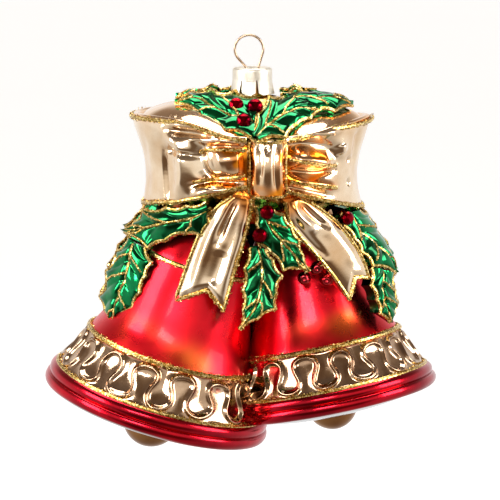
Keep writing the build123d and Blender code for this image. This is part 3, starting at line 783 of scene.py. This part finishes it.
LOOP_LEFT = Loop(
    -1,
    [(-15, 32.2, 23.2), (-17.4, 31.9, 23.5), (-25, 29.7, 24), (-32, 28.2, 24), (-38, 28.3, 23.5),
     (-44, 29.2, 22.6)],
    [(-0.6, -22.0), (-6.4, -21.2), (-11.7, -19.4), (-16.5, -18.0), (-21.0, -17.5), (-26.5, -17.3),
     (-31.9, -17.6)],
    [(-0.6, -35.0), (-3.7, -35.5), (-10.4, -37.3), (-16.5, -39.1), (-22.5, -40.4), (-28.6, -41.8)],
    [
        # The gathered puff beside the knot, and the deep crease round its outer end.
        ([(-1.5, -27.2), (-6.0, -27.6), (-9.2, -28.2)], 3.0, 1.7),
        ([(-2.0, -31.0), (-6.5, -30.6)], 1.5, 0.5),
        ([(-12.6, -23.0), (-13.2, -26.6), (-12.0, -30.8), (-8.6, -33.0), (-2.0, -33.6)], 1.7, -1.9),
        ([(-1.5, -24.2), (-7.0, -23.9), (-12.2, -24.4)], 0.9, -1.2),
        # The ridge that sweeps down from the top hem, crossed by a short fold.
        ([(-22.6, -20.6), (-19.0, -23.6), (-17.6, -28.0), (-17.4, -33.0), (-18.6, -38.6)], 2.5, 2.0),
        ([(-22.6, -25.8), (-18.0, -26.2), (-14.2, -27.0)], 0.9, -1.1),
        ([(-2.0, -22.9), (-9.0, -22.1), (-15.0, -22.4)], 0.9, 0.9),
        # The rolled top hem over a dark hollow.
        ([(-8.0, -20.8), (-14.5, -18.9), (-21.5, -18.2)], 1.1, 1.3),
        ([(-9.5, -21.6), (-15.0, -20.6), (-21.5, -20.4)], 1.2, -1.3),
        # The lower gathers, and the upright crease.
        ([(-2.0, -35.0), (-8.5, -35.4), (-15.5, -37.4)], 1.3, 1.2),
        ([(-15.5, -34.5), (-11.0, -34.0), (-3.0, -34.2)], 0.8, -0.9),
        ([(-22.9, -26.0), (-22.6, -32.0), (-22.0, -40.4)], 0.9, -1.2),
        ([(-26.6, -20.0), (-26.0, -29.0), (-26.4, -40.0)], 3.2, 0.5),
    ],
    [
        ([(-1.0, -24.8), (-6.0, -25.2), (-10.8, -25.8)], 1.6, 1.3),
        ([(-0.6, -28.4), (-4.6, -28.6)], 1.6, 1.2),
        ([(-1.0, -32.2), (-8.0, -33.0), (-14.8, -33.8)], 1.1, 1.3),
        ([(-0.8, -36.0), (-8.0, -37.2), (-14.0, -38.6)], 1.0, 1.2),
        ([(-0.6, -23.0), (-0.6, -30.0), (-0.6, -37.0)], 1.2, 1.2),
        ([(-3.0, -22.0), (-9.0, -20.9), (-15.0, -19.4)], 0.7, 0.9),
    ],
    -0.6, 41,
)
LOOP_RIGHT = Loop(
    1,
    [(-15, 34.0, 23.2), (-18, 33.4, 23.5), (-25, 31.1, 24), (-32, 29.5, 24), (-38, 29.8, 23.5),
     (-44, 31.2, 22.6)],
    [(9.8, -22.2), (12.2, -21.9), (21.0, -19.8), (27.1, -19.0), (33.2, -18.2)],
    [(9.8, -36.4), (16.8, -38.4), (23.9, -40.6), (30.9, -43.0)],
    [
        # The lens-shaped fold beside the knot, under a dark hollow.
        ([(11.2, -27.2), (16.5, -27.9), (21.6, -29.0)], 1.7, 2.0),
        ([(10.9, -23.7), (16.0, -23.5), (21.5, -25.2), (23.6, -28.4)], 1.7, -1.9),
        ([(10.9, -30.6), (17.6, -31.6), (23.0, -31.2)], 0.9, -1.5),
        ([(12.0, -21.9), (18.0, -20.8), (24.5, -20.0)], 1.1, 1.3),
        # The lower gathers.
        ([(11.4, -33.2), (18.0, -34.4), (24.0, -35.8)], 1.1, 1.3),
        ([(11.0, -35.0), (17.0, -36.6), (22.0, -38.0)], 0.7, -0.9),
        ([(11.0, -36.4), (17.0, -38.2)], 0.8, 0.7),
        # Dents in the smooth outer part.
        ([(25.0, -24.0), (24.8, -27.0)], 1.6, 1.0),
        ([(26.4, -28.6), (27.4, -29.6)], 1.0, -0.8),
        ([(26.6, -34.6), (27.4, -35.8)], 1.0, -0.8),
        ([(29.6, -21.0), (28.6, -26.0), (28.0, -31.0)], 1.8, -0.5),
    ],
    [
        ([(10.4, -25.4), (16.0, -26.2), (22.0, -27.6)], 1.3, 1.4),
        ([(10.4, -29.2), (16.0, -30.0), (22.6, -31.4)], 1.1, 1.2),
        ([(10.4, -32.8), (17.0, -34.0), (23.0, -35.2)], 1.1, 1.2),
        ([(10.4, -36.2), (16.0, -37.6), (21.0, -39.0)], 0.9, 1.1),
        ([(10.6, -23.0), (10.8, -30.0), (10.6, -37.0)], 1.1, 1.1),
    ],
    9.8, 57,
)
LOOP_LEFT.build("bow_loop_left")
LOOP_RIGHT.build("bow_loop_right")


def knot(name, side):
    """The gathered band round the bow's middle."""
    rows, columns = 90, 81
    u = np.linspace(0, 1, rows)[:, None]
    v = np.linspace(0, 1, columns)[None, :]
    z = -22.4 - 15.2 * u + 0 * v
    turn = (v - 0.5) * math.pi * 1.04 + 0 * u
    pinch = 1 - 0.07 * np.sin(u * math.pi) - 0.16 * (np.abs(2 * u - 1) ** 9)
    x = 5.0 + 5.4 * pinch * np.sin(turn)
    y = 19.0 + 8.9 * np.cos(turn) * (1 - 0.24 * np.abs(2 * u - 1) ** 2.2)
    marks = [
        ([(1.2, -23.4), (1.9, -30.0), (1.2, -36.8)], 0.8, 0.6),
        ([(2.9, -23.0), (3.2, -28.0), (2.8, -33.0)], 0.6, -0.6),
        ([(7.2, -23.0), (6.9, -29.0), (7.4, -36.0)], 0.6, -0.6),
        ([(8.8, -23.4), (8.2, -30.0), (8.8, -36.8)], 0.8, 0.6),
        ([(4.4, -23.6), (5.0, -25.4)], 0.7, -0.5),
    ]
    lay = strokes(x, z, marks) + 0.12 * wobble(np.stack([x, y, z], axis=-1), 4.0, 61)
    grow = np.stack([np.sin(turn), np.cos(turn)], axis=-1)
    x = x + lay * grow[..., 0]
    y = np.minimum(y + lay * grow[..., 1], 27.95)
    front = np.stack([x, -side * y, z], axis=-1)
    back = front.copy()
    back[..., 1] = -side * 17.0
    back[..., 0] = 5 + (front[..., 0] - 5) * 0.9
    warm = np.maximum(fade(-z, 33.0, 35.6), np.exp(-(((x - 8.7) / 1.3) ** 2)) * fade(-z, 23.0, 26.0))
    warm = np.maximum(warm, 0.8 * np.exp(-(((x - 1.4) / 0.9) ** 2)) * fade(-z, 24.0, 28.0))
    warm = warm * (0.3 + 0.7 * fade(wobble(front, 3.0, 67), -0.8, 0.3))
    make_piece(name, *closed(front, back), BOW, 60, None, [warm, 0 * warm])

    out = np.array([0, -side, 0])
    lines = [(front[row, 4:-4], 1.2) for row in (2, rows - 3)]
    lines += [(front[2:-2, column], 1.0) for column in (9, columns - 10)]
    return [(line + 0.05 * out, out + 0.0 * line, width) for line, width in lines]


bow_glitter = []
for name, side in (("bow_knot_front", FRONT), ("bow_knot_back", BACK)):
    bow_glitter += knot(name, side)
for loop in (LOOP_LEFT, LOOP_RIGHT):
    bow_glitter += [loop.rim(loop.top, 0.4), loop.rim(loop.bottom, -0.4)]
FOLD_LINES = (
    (LOOP_LEFT, [(-1.0, -31.7), (-4.5, -32.3), (-8.0, -32.8), (-12.0, -33.2), (-14.8, -33.8)]),
    (LOOP_LEFT, [(-1.0, -24.9), (-6.4, -24.8), (-12.2, -25.2), (-13.6, -26.2)]),
    (LOOP_RIGHT, [(10.6, -27.5), (16.0, -28.6), (21.6, -29.8), (23.4, -30.0)]),
    (LOOP_RIGHT, [(10.9, -33.4), (17.0, -34.6), (23.0, -36.0)]),
)
bow_glitter += [loop.line(points, back) for back in (False, True) for loop, points in FOLD_LINES]
glitter_piece("glitter_bow", bow_glitter)


# --------------------------------------------------------------------------- tails
def tail(name, side, left, middle, right, marks, seed):
    """One tail of the bow, a ribbon end with a notch."""
    rows = 110

    def relief(u, v, x, z):
        lay = strokes(x, z, marks) + 0.22 * wobble(np.stack([x, z], axis=-1), 8.0, seed)
        return lay + 0.9 * (1 - np.abs(2 * v - 1) ** 3) * (1 - fade(u, 0.9, 1.0)) - 0.6

    left, middle, right = [smooth_line(line, rows) for line in (left, middle, right)]
    patch = Patch(GARLAND_SURFACE, side, left, middle, right, 49, relief, 5.2)
    warm = 0.85 * (1 - fade(np.linspace(0, 1, rows)[:, None], 0.03, 0.3))
    warm = warm * fade(wobble(patch.points, 5.0, seed + 3), -0.6, 0.5)
    make_piece(name, *closed(patch.points, patch.back), BOW, 50, None, [warm, 0.5 + 0 * warm])
    rim = np.linspace(0, 1, 120)
    return [patch.line(rim, v, 0.1, 1.5) for v in (0.02, 0.98)] + [patch.line(0.985, rim, 0.1, 1.5)]


TAIL_LEFT = (
    [(-4.5, -37.6), (-8.8, -40.5), (-11.8, -44.6), (-14.1, -48.8), (-17.4, -57.4), (-20.6, -66.4)],
    [(-2.2, -37.8), (-5.0, -43.0), (-8.0, -51.0), (-10.2, -58.0), (-11.3, -62.9)],
    [(0.3, -38.2), (0.5, -41.0), (-0.8, -47.7), (-3.5, -57.1), (-6.9, -68.4)],
    [
        ([(-3.0, -38.0), (-5.6, -43.0), (-8.4, -50.0)], 0.9, -1.1),
        ([(-6.0, -41.0), (-9.6, -47.0), (-13.0, -56.0), (-15.0, -63.5)], 1.3, 0.8),
        ([(-1.0, -40.0), (-2.6, -48.0), (-5.4, -57.0), (-7.4, -64.0)], 1.4, 0.9),
        ([(-7.0, -52.0), (-9.0, -58.0), (-10.4, -61.6)], 1.6, -0.7),
    ],
    71,
)
TAIL_RIGHT = (
    [(9.9, -39.2), (10.9, -44.4), (13.8, -48.5), (17.4, -52.6), (22.8, -59.3), (27.5, -66.2)],
    [(11.8, -38.9), (14.4, -43.4), (19.4, -48.8), (24.6, -54.6), (29.0, -60.4)],
    [(14.2, -38.4), (19.0, -40.9), (25.5, -46.6), (30.2, -53.6), (33.0, -60.7)],
    [
        ([(11.6, -39.4), (13.4, -43.0), (17.2, -46.6)], 1.0, 0.9),
        ([(13.8, -39.4), (17.0, -43.0), (21.0, -46.4)], 0.8, -0.9),
        ([(12.0, -44.0), (15.6, -48.6), (20.5, -54.0)], 0.9, -0.8),
        ([(20.0, -45.0), (25.0, -51.0), (29.0, -57.0)], 2.2, 0.6),
    ],
    83,
)
tail_lines = []
for side, view in ((FRONT, ""), (BACK, "_back")):
    tail_lines += tail("bow_tail" + view + "_left", side, *TAIL_LEFT)
    tail_lines += tail("bow_tail" + view + "_right", side, *TAIL_RIGHT)
glitter_piece("glitter_tails", tail_lines)


# --------------------------------------------------------------------------- holly
LEAF_BITE = 0.13


def leaf_edge(tips, count, middle):
    """A spiny edge: arcs between the tips that dip towards the midrib."""
    tips = np.asarray(tips, float)
    run = tips[-1] - tips[0]
    inward = np.asarray(middle, float).mean(axis=0) - tips.mean(axis=0)
    sign = 1.0 if run[1] * inward[0] - run[0] * inward[1] > 0 else -1.0
    return bitten(tips, count, sign * LEAF_BITE)


def leaf(name, surface, side, left, middle, right, veins, seed, depth):
    """One holly leaf with a grooved midrib, swelling panels between its veins and spiny edges."""
    rows = 96
    mid = smooth_line(middle, rows)

    def relief(u, v, x, z):
        away = np.abs(2 * v - 1)
        phase = u * (veins + 0.5) - 0.9 * away
        panels = np.abs(np.sin(math.pi * phase)) ** 0.6
        lay = 1.15 * (1 - away ** 2.6) ** 0.5 * (0.45 + 0.55 * panels) - 0.9 * np.exp(-((away / 0.09) ** 2))
        flat = np.stack([x, z], axis=-1)
        grain = 0.40 * wobble(flat, 5.0, seed) + 0.08 * wobble(flat, 2.2, seed + 1)
        return (lay + grain) * (1 - 0.6 * away ** 6) - 0.3

    left, right = leaf_edge(left, rows, mid), leaf_edge(right, rows, mid)
    patch = Patch(surface, side, left, mid, right, 49, relief, depth)
    make_piece(name, *closed(patch.points, patch.back), GREEN, 50)
    rim = np.linspace(0, 1, 140)
    lines = [patch.line(rim, v, 0.12, 1.45) for v in (0.015, 0.985)]
    lines.append(patch.line(rim[4:-4], 0.5, 0.18, 1.15))
    t = np.linspace(0.04, 0.8, 24)
    for k in range(veins):
        for half in (-1, 1):
            if (k + (half > 0) + seed) % 3 != 0:
                along = (k + 0.62 + 0.9 * t) / (veins + 0.5)
                lines.append(patch.line(along, 0.5 + half * t / 2, 0.05, 0.75))
    return lines


# Each leaf as its left edge, midrib and right edge, from the stem to the point.
LEAF_TOP_LEFT = (
    [(1.8, -11.6), (-3.8, -10.4), (-10.5, -10.2), (-15.2, -10.9), (-19.6, -13.4)],
    [(1.6, -17.4), (-6.4, -15.8), (-13.2, -12.9), (-19.8, -13.5)],
    [(1.2, -22.3), (-6.4, -19.8), (-12.2, -17.0), (-20.0, -13.6)],
    3,
)
LEAF_TOP_FRONT = (
    [(0.6, -20.4), (2.4, -15.6), (5.2, -11.6), (10.8, -11.2), (14.8, -12.2), (19.0, -14.6)],
    [(1.8, -21.6), (5.6, -18.2), (9.3, -16.2), (13.7, -15.0), (19.1, -14.8)],
    [(2.8, -22.3), (9.8, -21.6), (12.6, -18.6), (16.5, -17.2), (19.2, -15.0)],
    3,
)
LEAF_TOP_RIGHT = (
    [(8.6, -11.0), (12.8, -10.2), (19.0, -10.4), (24.5, -12.2), (28.0, -14.6)],
    [(10.4, -12.6), (17.5, -12.4), (28.1, -14.8)],
    [(12.2, -15.2), (17.6, -15.4), (23.0, -15.8), (28.2, -15.0)],
    2,
)
LEAF_LEFT_UPPER = (
    [(-10.2, -40.6), (-10.8, -44.8), (-12.4, -48.4), (-16.0, -47.6), (-22.6, -50.0), (-27.2, -52.4),
     (-33.9, -49.2)],
    [(-10.8, -41.4), (-15.7, -43.6), (-21.7, -45.2), (-28.0, -47.0), (-34.0, -49.0)],
    [(-11.4, -39.0), (-17.0, -40.4), (-22.4, -41.2), (-28.8, -42.2), (-31.4, -46.0), (-34.1, -48.8)],
    3,
)
LEAF_LEFT_LOWER = (
    [(-32.6, -50.0), (-36.4, -54.1), (-39.2, -59.6), (-41.2, -67.0), (-39.6, -70.3), (-37.4, -73.4)],
    [(-31.0, -51.0), (-32.2, -56.0), (-33.2, -60.6), (-35.2, -66.0), (-37.2, -73.5)],
    [(-28.0, -52.2), (-26.1, -56.0), (-28.0, -59.6), (-29.4, -64.2), (-31.4, -68.4), (-37.0, -73.6)],
    4,
)
LEAF_CENTER_UPPER = (
    [(1.6, -40.0), (2.0, -45.0), (2.4, -50.2), (5.6, -52.4), (9.1, -57.4), (12.5, -56.7), (16.0, -57.8)],
    [(3.4, -40.4), (5.4, -45.0), (8.3, -48.8), (12.5, -53.6), (16.1, -57.7)],
    [(5.0, -40.0), (9.4, -42.4), (11.4, -45.8), (13.6, -49.3), (14.6, -53.6), (16.3, -57.6)],
    3,
)
LEAF_CENTER_LOWER = (
    [(0.2, -51.2), (-1.3, -56.6), (-1.7, -62.4), (-1.6, -67.6), (-2.5, -72.8)],
    [(2.4, -51.0), (3.4, -55.2), (3.3, -61.1), (1.6, -67.0), (-2.4, -72.9)],
    [(4.4, -51.6), (6.4, -54.6), (9.0, -58.8), (7.4, -63.4), (7.4, -67.6), (2.4, -69.9), (-2.3, -73.0)],
    4,
)
LEAF_RIGHT_UPPER = (
    [(24.8, -43.0), (26.0, -46.6), (28.6, -50.0), (30.4, -53.6), (33.6, -57.4), (40.2, -60.6)],
    [(27.2, -43.0), (29.4, -47.2), (33.2, -51.0), (37.0, -55.2), (40.3, -60.6)],
    [(30.2, -42.9), (33.5, -44.8), (37.6, -48.6), (39.4, -54.6), (40.4, -60.5)],
    3,
)
LEAF_RIGHT_LOWER = (
    [(33.0, -58.0), (33.0, -62.5), (34.8, -66.7), (35.6, -70.4), (38.4, -73.4)],
    [(36.4, -59.0), (36.0, -63.0), (36.8, -68.4), (38.5, -73.4)],
    [(39.6, -60.8), (40.2, -65.2), (40.9, -68.6), (39.8, -71.4), (38.6, -73.4)],
    3,
)
LEAF_BACK_CENTER = (
    [(1.6, -40.0), (-1.0, -46.0), (-2.8, -50.4), (-1.2, -55.0), (-0.4, -60.2), (1.2, -66.0), (3.0, -70.8)],
    [(4.4, -40.4), (4.0, -50.0), (3.8, -60.0), (3.1, -70.8)],
    [(7.4, -41.0), (8.4, -45.6), (10.0, -50.2), (8.4, -55.0), (7.8, -60.2), (5.6, -65.6), (3.2, -70.8)],
    4,
)
front_lines, back_lines = [], []
for name, surface, side, shape, seed in (
    ("leaf_top_left", WREATH_SURFACE, FRONT, LEAF_TOP_LEFT, 101),
    ("leaf_top_front", WREATH_SURFACE, FRONT, LEAF_TOP_FRONT, 103),
    ("leaf_top_right", WREATH_SURFACE, FRONT, LEAF_TOP_RIGHT, 105),
    ("leaf_left_upper", GARLAND_SURFACE, FRONT, LEAF_LEFT_UPPER, 107),
    ("leaf_left_lower", GARLAND_SURFACE, FRONT, LEAF_LEFT_LOWER, 109),
    ("leaf_center_upper", GARLAND_SURFACE, FRONT, LEAF_CENTER_UPPER, 111),
    ("leaf_center_lower", GARLAND_SURFACE, FRONT, LEAF_CENTER_LOWER, 113),
    ("leaf_right_upper", GARLAND_SURFACE, FRONT, LEAF_RIGHT_UPPER, 115),
    ("leaf_right_lower", GARLAND_SURFACE, FRONT, LEAF_RIGHT_LOWER, 117),
    ("leaf_back_top_left", WREATH_SURFACE, BACK, LEAF_TOP_LEFT, 119),
    ("leaf_back_top_right", WREATH_SURFACE, BACK, LEAF_TOP_RIGHT, 121),
    ("leaf_back_left_upper", GARLAND_SURFACE, BACK, LEAF_LEFT_UPPER, 123),
    ("leaf_back_left_lower", GARLAND_SURFACE, BACK, LEAF_LEFT_LOWER, 125),
    ("leaf_back_center", GARLAND_SURFACE, BACK, LEAF_BACK_CENTER, 127),
    ("leaf_back_right_upper", GARLAND_SURFACE, BACK, LEAF_RIGHT_UPPER, 129),
    ("leaf_back_right_lower", GARLAND_SURFACE, BACK, LEAF_RIGHT_LOWER, 131),
):
    thick = 1.5 if surface is WREATH_SURFACE else 4.6
    (front_lines if side == FRONT else back_lines).extend(leaf(name, surface, side, *shape, seed, thick))
glitter_piece("glitter_leaves_front", front_lines)
glitter_piece("glitter_leaves_back", back_lines)


# ------------------------------------------------------------------ body and berries
CORE = [(-46.0, 19.0, 14.0), (-42.0, 24.0, 18.0), (-31.0, 26.0, 20.5), (-22.5, 25.5, 19.0), (-18.5, 19.5, 12.5),
        (-15.0, 12.5, 8.8), (-12.6, 8.0, 6.6)]
core_surface = Stack(CORE)
turn = np.linspace(0, 2 * math.pi, 120, endpoint=False)[None, :]
z = np.linspace(-46.0, -12.6, 60)[:, None]
outer = core_surface.point(turn + 0 * z, z + 0 * turn)
outer = outer - 0.25 * (1 + wobble(outer, 7.0, 91))[..., None] * core_surface.normal(turn + 0 * z, z + 0 * turn)
inner = outer[::-1] * [0.94, 0.94, 1.0]
body = np.concatenate([outer, inner])
make_piece("garland_core", body, grid_faces(120, 120, wrap_rows=True, wrap_columns=True), AMBER, 60)

berry_parts = []
for x, y, z in ((14.8, -16.5, -60.2), (18.2, -16.0, -57.6), (20.8, -15.5, -60.8)):
    t = np.linspace(0, math.pi, 26)[:, None]
    a = np.linspace(0, 2 * math.pi, 40, endpoint=False)[None, :]
    ball = np.stack([np.sin(t) * np.sin(a), -np.cos(t) + 0 * a, np.sin(t) * np.cos(a)], axis=-1)
    size = 1.95 - 0.09 * (1 + wobble(ball * 1.95 + [x, y, z], 1.2, 93))
    dimple = 0.35 * np.exp(-(((t - 0) / 0.22) ** 2)) + 0 * a
    ball = ball * (size - dimple)[..., None] + [x, y, z]
    berry_parts.append((ball, grid_faces(26, 40, wrap_columns=True)))
make_piece("berries_moulded", *join(berry_parts), BERRY, 60)


# ----------------------------------------------------------------------------- stones
def stone(surface, x, z, radius, look_up):
    """A faceted stone with its table facing out of the surface."""
    turn = surface.turn(np.array(x), np.array(z))
    seat = surface.point(turn, np.array(z))
    out = np.array([seat[0] / float(surface.width(z)) ** 2, seat[1] / float(surface.reach(z)) ** 2, 0.0])
    out /= np.linalg.norm(out)
    out[2] = look_up
    out /= np.linalg.norm(out)
    side = np.cross([0, 0, 1.0], out)
    side /= np.linalg.norm(side)
    up = np.cross(out, side)
    rings = []
    for share, height, shift in (
        (0.96, -0.4, 0), (1.0, 0.6, 0), (0.95, 0.95, 0), (0.76, 1.45, 0.5), (0.44, 1.8, 0),
    ):
        for k in range(12):
            a = (k + shift) * math.pi / 6
            rings.append(seat + radius * share * (math.cos(a) * side + math.sin(a) * up) + height * out)
    faces = [list(range(12))[::-1], [48 + k for k in range(12)]]
    for r in range(4):
        for k in range(12):
            a, b = r * 12 + k, r * 12 + (k + 1) % 12
            c, d = a + 12, b + 12
            if r == 2:
                faces += [[a, b, c], [b, d, c]]
            elif r == 3:
                faces += [[a, d, c], [a, b, d]]
            else:
                faces.append([a, b, d, c])
    return np.array(rings), faces


for name, surface, places, look_up in (
    ("rhinestones_top", WREATH_SURFACE, [(-3.4, -14.1, 2.1), (1.6, -14.4, 2.2), (-1.4, -17.8, 2.1)], 0.45),
    ("rhinestones_center", GARLAND_SURFACE, [(4.8, -41.6, 2.0), (2.9, -47.8, 2.1)], 0.0),
    ("rhinestone_right", GARLAND_SURFACE, [(26.2, -44.4, 1.9)], 0.0),
):
    make_piece(name, *join([stone(surface, x, z, r, look_up) for x, z, r in places]), STONE, 0)


# ------------------------------------------------------------------ neck, cap and wire
turn = np.linspace(0, 2 * math.pi, 72, endpoint=False)[:, None]
profile = np.array([(4.6, -19.0), (4.6, -12.0), (4.6, -5.3), (3.7, -5.3), (3.7, -12.0), (3.7, -19.0)])
points = np.stack([CAP_X + profile[:, 0] * np.sin(turn), -profile[:, 0] * np.cos(turn),
                   profile[:, 1] + 0 * turn], axis=-1)
make_piece("neck", points, grid_faces(72, 6, wrap_rows=True, wrap_columns=True), AMBER, 40)

cap_parts = []
arc = np.linspace(0, math.pi / 2, 8)
outline = [(CAP_HOLE, CAP_TOP - 0.02)]
outline += [(CAP_RADIUS - CAP_EDGE + CAP_EDGE * math.sin(a), CAP_TOP - CAP_EDGE + CAP_EDGE * math.cos(a))
            for a in arc]
outline += [(CAP_RADIUS, SLIT_TOP)]
outline += [(CAP_RADIUS - CAP_WALL, SLIT_TOP)]
outline += [(CAP_RADIUS - CAP_WALL - 0.45 + 0.45 * math.cos(a), CAP_TOP - CAP_WALL - 0.45 + 0.45 * math.sin(a))
            for a in arc[::2]]
outline += [(CAP_HOLE, CAP_TOP - CAP_WALL)]
outline = np.array(outline)
turn = np.linspace(0, 2 * math.pi, 96, endpoint=False)[:, None]
points = np.stack(
    [CAP_X + outline[:, 0] * np.sin(turn), -outline[:, 0] * np.cos(turn), outline[:, 1] + 0 * turn], axis=-1)
cap_parts.append((points, grid_faces(96, len(outline), wrap_rows=True, wrap_columns=True)))
slits = sorted(SLITS)
for k, first in enumerate(slits):
    last = slits[(k + 1) % len(slits)] + (360 if k == len(slits) - 1 else 0)
    rows, columns = 60, int(max(60, 2.4 * (last - first)))
    u = np.linspace(0, 1, rows)[:, None]
    v = np.linspace(0, 1, columns)[None, :]
    gap = np.degrees((0.15 + 0.30 * u) / CAP_RADIUS)
    corner = np.degrees(0.9 / CAP_RADIUS) * fade(u, 0.8, 1.0) ** 2
    angle = np.radians(first + gap + corner + (last - first - 2 * gap - 2 * corner) * v)
    radius = CAP_RADIUS + (CAP_SKIRT - CAP_RADIUS) * u ** 1.3 + 0 * v
    height = SLIT_TOP + 0.02 + (CAP_BOTTOM - SLIT_TOP) * u + 0 * v
    if k % 2 == 0:
        inside_edge = fade(np.minimum(v, 1 - v) * (last - first) * 0.1, 0.3, 0.6)
        inside_edge = inside_edge * fade(np.minimum(u, 1 - u), 0.05, 0.12)
        dots = np.cos(angle * CAP_RADIUS * 2 * math.pi / 0.62) * np.cos(height * 2 * math.pi / 0.62)
        radius = radius - 0.07 * inside_edge * (1 + dots) / 2
    radius = radius - 0.01
    grid = np.stack([CAP_X + radius * np.sin(angle), -radius * np.cos(angle), height], axis=-1)
    inward = np.stack([-np.sin(angle), np.cos(angle), 0 * angle], axis=-1) * CAP_WALL
    cap_parts.append(closed(grid, grid + inward))
make_piece("cap", *join(cap_parts), CAP_METAL, 40, body="cap")


def eye_touch(leg_x, side):
    """Where a straight wire from the cap's hole touches the eye's circle, as an angle."""
    return math.atan2(CAP_TOP, leg_x) + side * math.acos(EYE / math.hypot(leg_x, CAP_TOP))


first = eye_touch(CAP_X - LEG_GAP / 2, -1)
last = eye_touch(CAP_X + LEG_GAP / 2, 1)
if last > first:
    last -= 2 * math.pi
eye = [(EYE * math.cos(a), EYE * math.sin(a)) for a in np.linspace(first, last, 90)]


def leg(side, touch):
    """One leg of the wire, from its foot in the neck to the eye."""
    knee = np.array([CAP_X + side * LEG_GAP / 2, CAP_TOP])
    foot = np.array([CAP_X + side * FOOT_GAP / 2, FOOT_Z])
    touch = np.array(touch)
    down, up = foot - knee, touch - knee
    down, up = down / np.linalg.norm(down), up / np.linalg.norm(up)
    reach = 1.2 / math.tan(math.acos(np.clip(down @ up, -1, 1)) / 2)
    bend = [knee + down * reach * (1 - t) ** 2 + up * reach * t**2 for t in np.linspace(0, 1, 9)]
    return [foot] + bend + [touch]


line = leg(-1, eye[0]) + eye[1:-1] + leg(1, eye[-1])[::-1]
line = even(line, 260)
line = np.stack([line[:, 0], 0 * line[:, 0], line[:, 1]], axis=1)
make_piece("hanger_wire", *tube(line, WIRE, 16), WIRE_METAL, 60, body="hanger")


# ------------------------------------------------------------------------------ stage
CENTRE = (0.0, 0.0, -0.055)


def card(name, place, width, height, strength):
    """A soft rectangular lamp aimed at the middle of the ornament."""
    lamp = bpy.data.lights.new(name, "AREA")
    lamp.shape = "RECTANGLE"
    lamp.size, lamp.size_y = width, height
    lamp.energy = strength
    item = bpy.data.objects.new(name, lamp)
    bpy.context.scene.collection.objects.link(item)
    item.location = place
    item.rotation_mode = "QUATERNION"
    item.rotation_quaternion = (Vector(place) - Vector(CENTRE)).to_track_quat("Z", "Y")
    item.visible_camera = False


FLOOR_Z = -0.32
floor_mesh = bpy.data.meshes.new("floor")
corners = [(-6, -6), (6, -6), (6, 6), (-6, 6)]
floor_mesh.from_pydata([(x, y, FLOOR_Z) for x, y in corners], [], [(0, 1, 2, 3)])
floor = bpy.data.objects.new("floor", floor_mesh)
bpy.context.scene.collection.objects.link(floor)
paper = Nodes("paper", Roughness=0.9, Emission_Color=(1.0, 1.0, 1.0), Emission_Strength=0.62)
paper.color(paper.ramp(paper.noise(3.0), (0.3, (0.93, 0.93, 0.93)), (0.7, (0.95, 0.95, 0.95))))
floor_mesh.materials.append(paper.material)

world = bpy.data.worlds.new("studio")
bpy.context.scene.world = world
world.use_nodes = True
tree = world.node_tree
background = tree.nodes["Background"]
place = tree.nodes.new("ShaderNodeTexCoord").outputs["Generated"]
split = tree.nodes.new("ShaderNodeSeparateXYZ")
tree.links.new(place, split.inputs["Vector"])
spread = tree.nodes.new("ShaderNodeMapRange")
spread.inputs["From Min"].default_value = -1.0
tree.links.new(split.outputs["Z"], spread.inputs["Value"])
front = tree.nodes.new("ShaderNodeMapRange")
front.interpolation_type = "SMOOTHSTEP"
front.inputs["From Min"].default_value = -0.35
front.inputs["From Max"].default_value = -0.80
tree.links.new(split.outputs["Y"], front.inputs["Value"])


def sky(stops):
    """A colour for each height in the surroundings, from straight down to straight up."""
    shade = tree.nodes.new("ShaderNodeValToRGB")
    bar = shade.color_ramp.elements
    while len(bar) < len(stops):
        bar.new(0.5)
    for stop, (height, tone) in zip(bar, stops):
        stop.position = (height + 1) / 2
        stop.color = (*tone, 1.0)
    tree.links.new(spread.outputs["Result"], shade.inputs["Fac"])
    return shade.outputs["Color"]


DARK = (0.150, 0.100, 0.065)
around = sky([(-1.0, (0.45, 0.42, 0.38)), (-0.2, (1.0, 1.0, 1.0)), (0.34, (1.0, 1.0, 1.0)), (0.58, (0.34, 0.28, 0.23)),
              (1.0, (0.12, 0.10, 0.09))])
facing = sky([(-1.0, (0.25, 0.21, 0.17)), (-0.60, DARK), (-0.22, DARK), (-0.10, (0.42, 0.36, 0.29)),
              (0.04, (0.90, 0.87, 0.82)), (0.40, (1.0, 0.98, 0.94)), (0.56, (0.24, 0.18, 0.12)), (0.90, DARK)])
blend = tree.nodes.new("ShaderNodeMix")
blend.data_type = "RGBA"
tree.links.new(front.outputs["Result"], blend.inputs["Factor"])
tree.links.new(around, blend.inputs["A"])
tree.links.new(facing, blend.inputs["B"])
tree.links.new(blend.outputs["Result"], background.inputs["Color"])
background.inputs["Strength"].default_value = 1.0
floor.visible_glossy = False

card("front_soft", (-0.12, -0.66, 0.20), 0.30, 0.14, 2.2)
card("key_left", (-0.60, -0.30, 0.20), 0.3, 0.4, 4.0)
card("key_right", (0.62, -0.22, 0.14), 0.3, 0.4, 3.2)
card("top", (0.0, 0.15, 0.65), 0.6, 0.4, 5.0)

bpy.context.scene.view_settings.view_transform = "Standard"
bpy.context.scene.view_settings.look = "None"

TARGET = np.array([0.27, 0.0, -54.9]) * MM
TILT = math.radians(8.0)
camera = bpy.data.cameras.new("camera")
camera.lens = 264.0
camera.sensor_width = 36.0
camera.clip_start, camera.clip_end = 0.05, 20.0
eye_object = bpy.data.objects.new("camera", camera)
bpy.context.scene.collection.objects.link(eye_object)
ahead = np.array([0.0, math.cos(TILT), -math.sin(TILT)])
eye_object.location = TARGET - ahead * 1.0
eye_object.rotation_euler = (math.pi / 2 - TILT, 0.0, 0.0)
bpy.context.scene.camera = eye_object
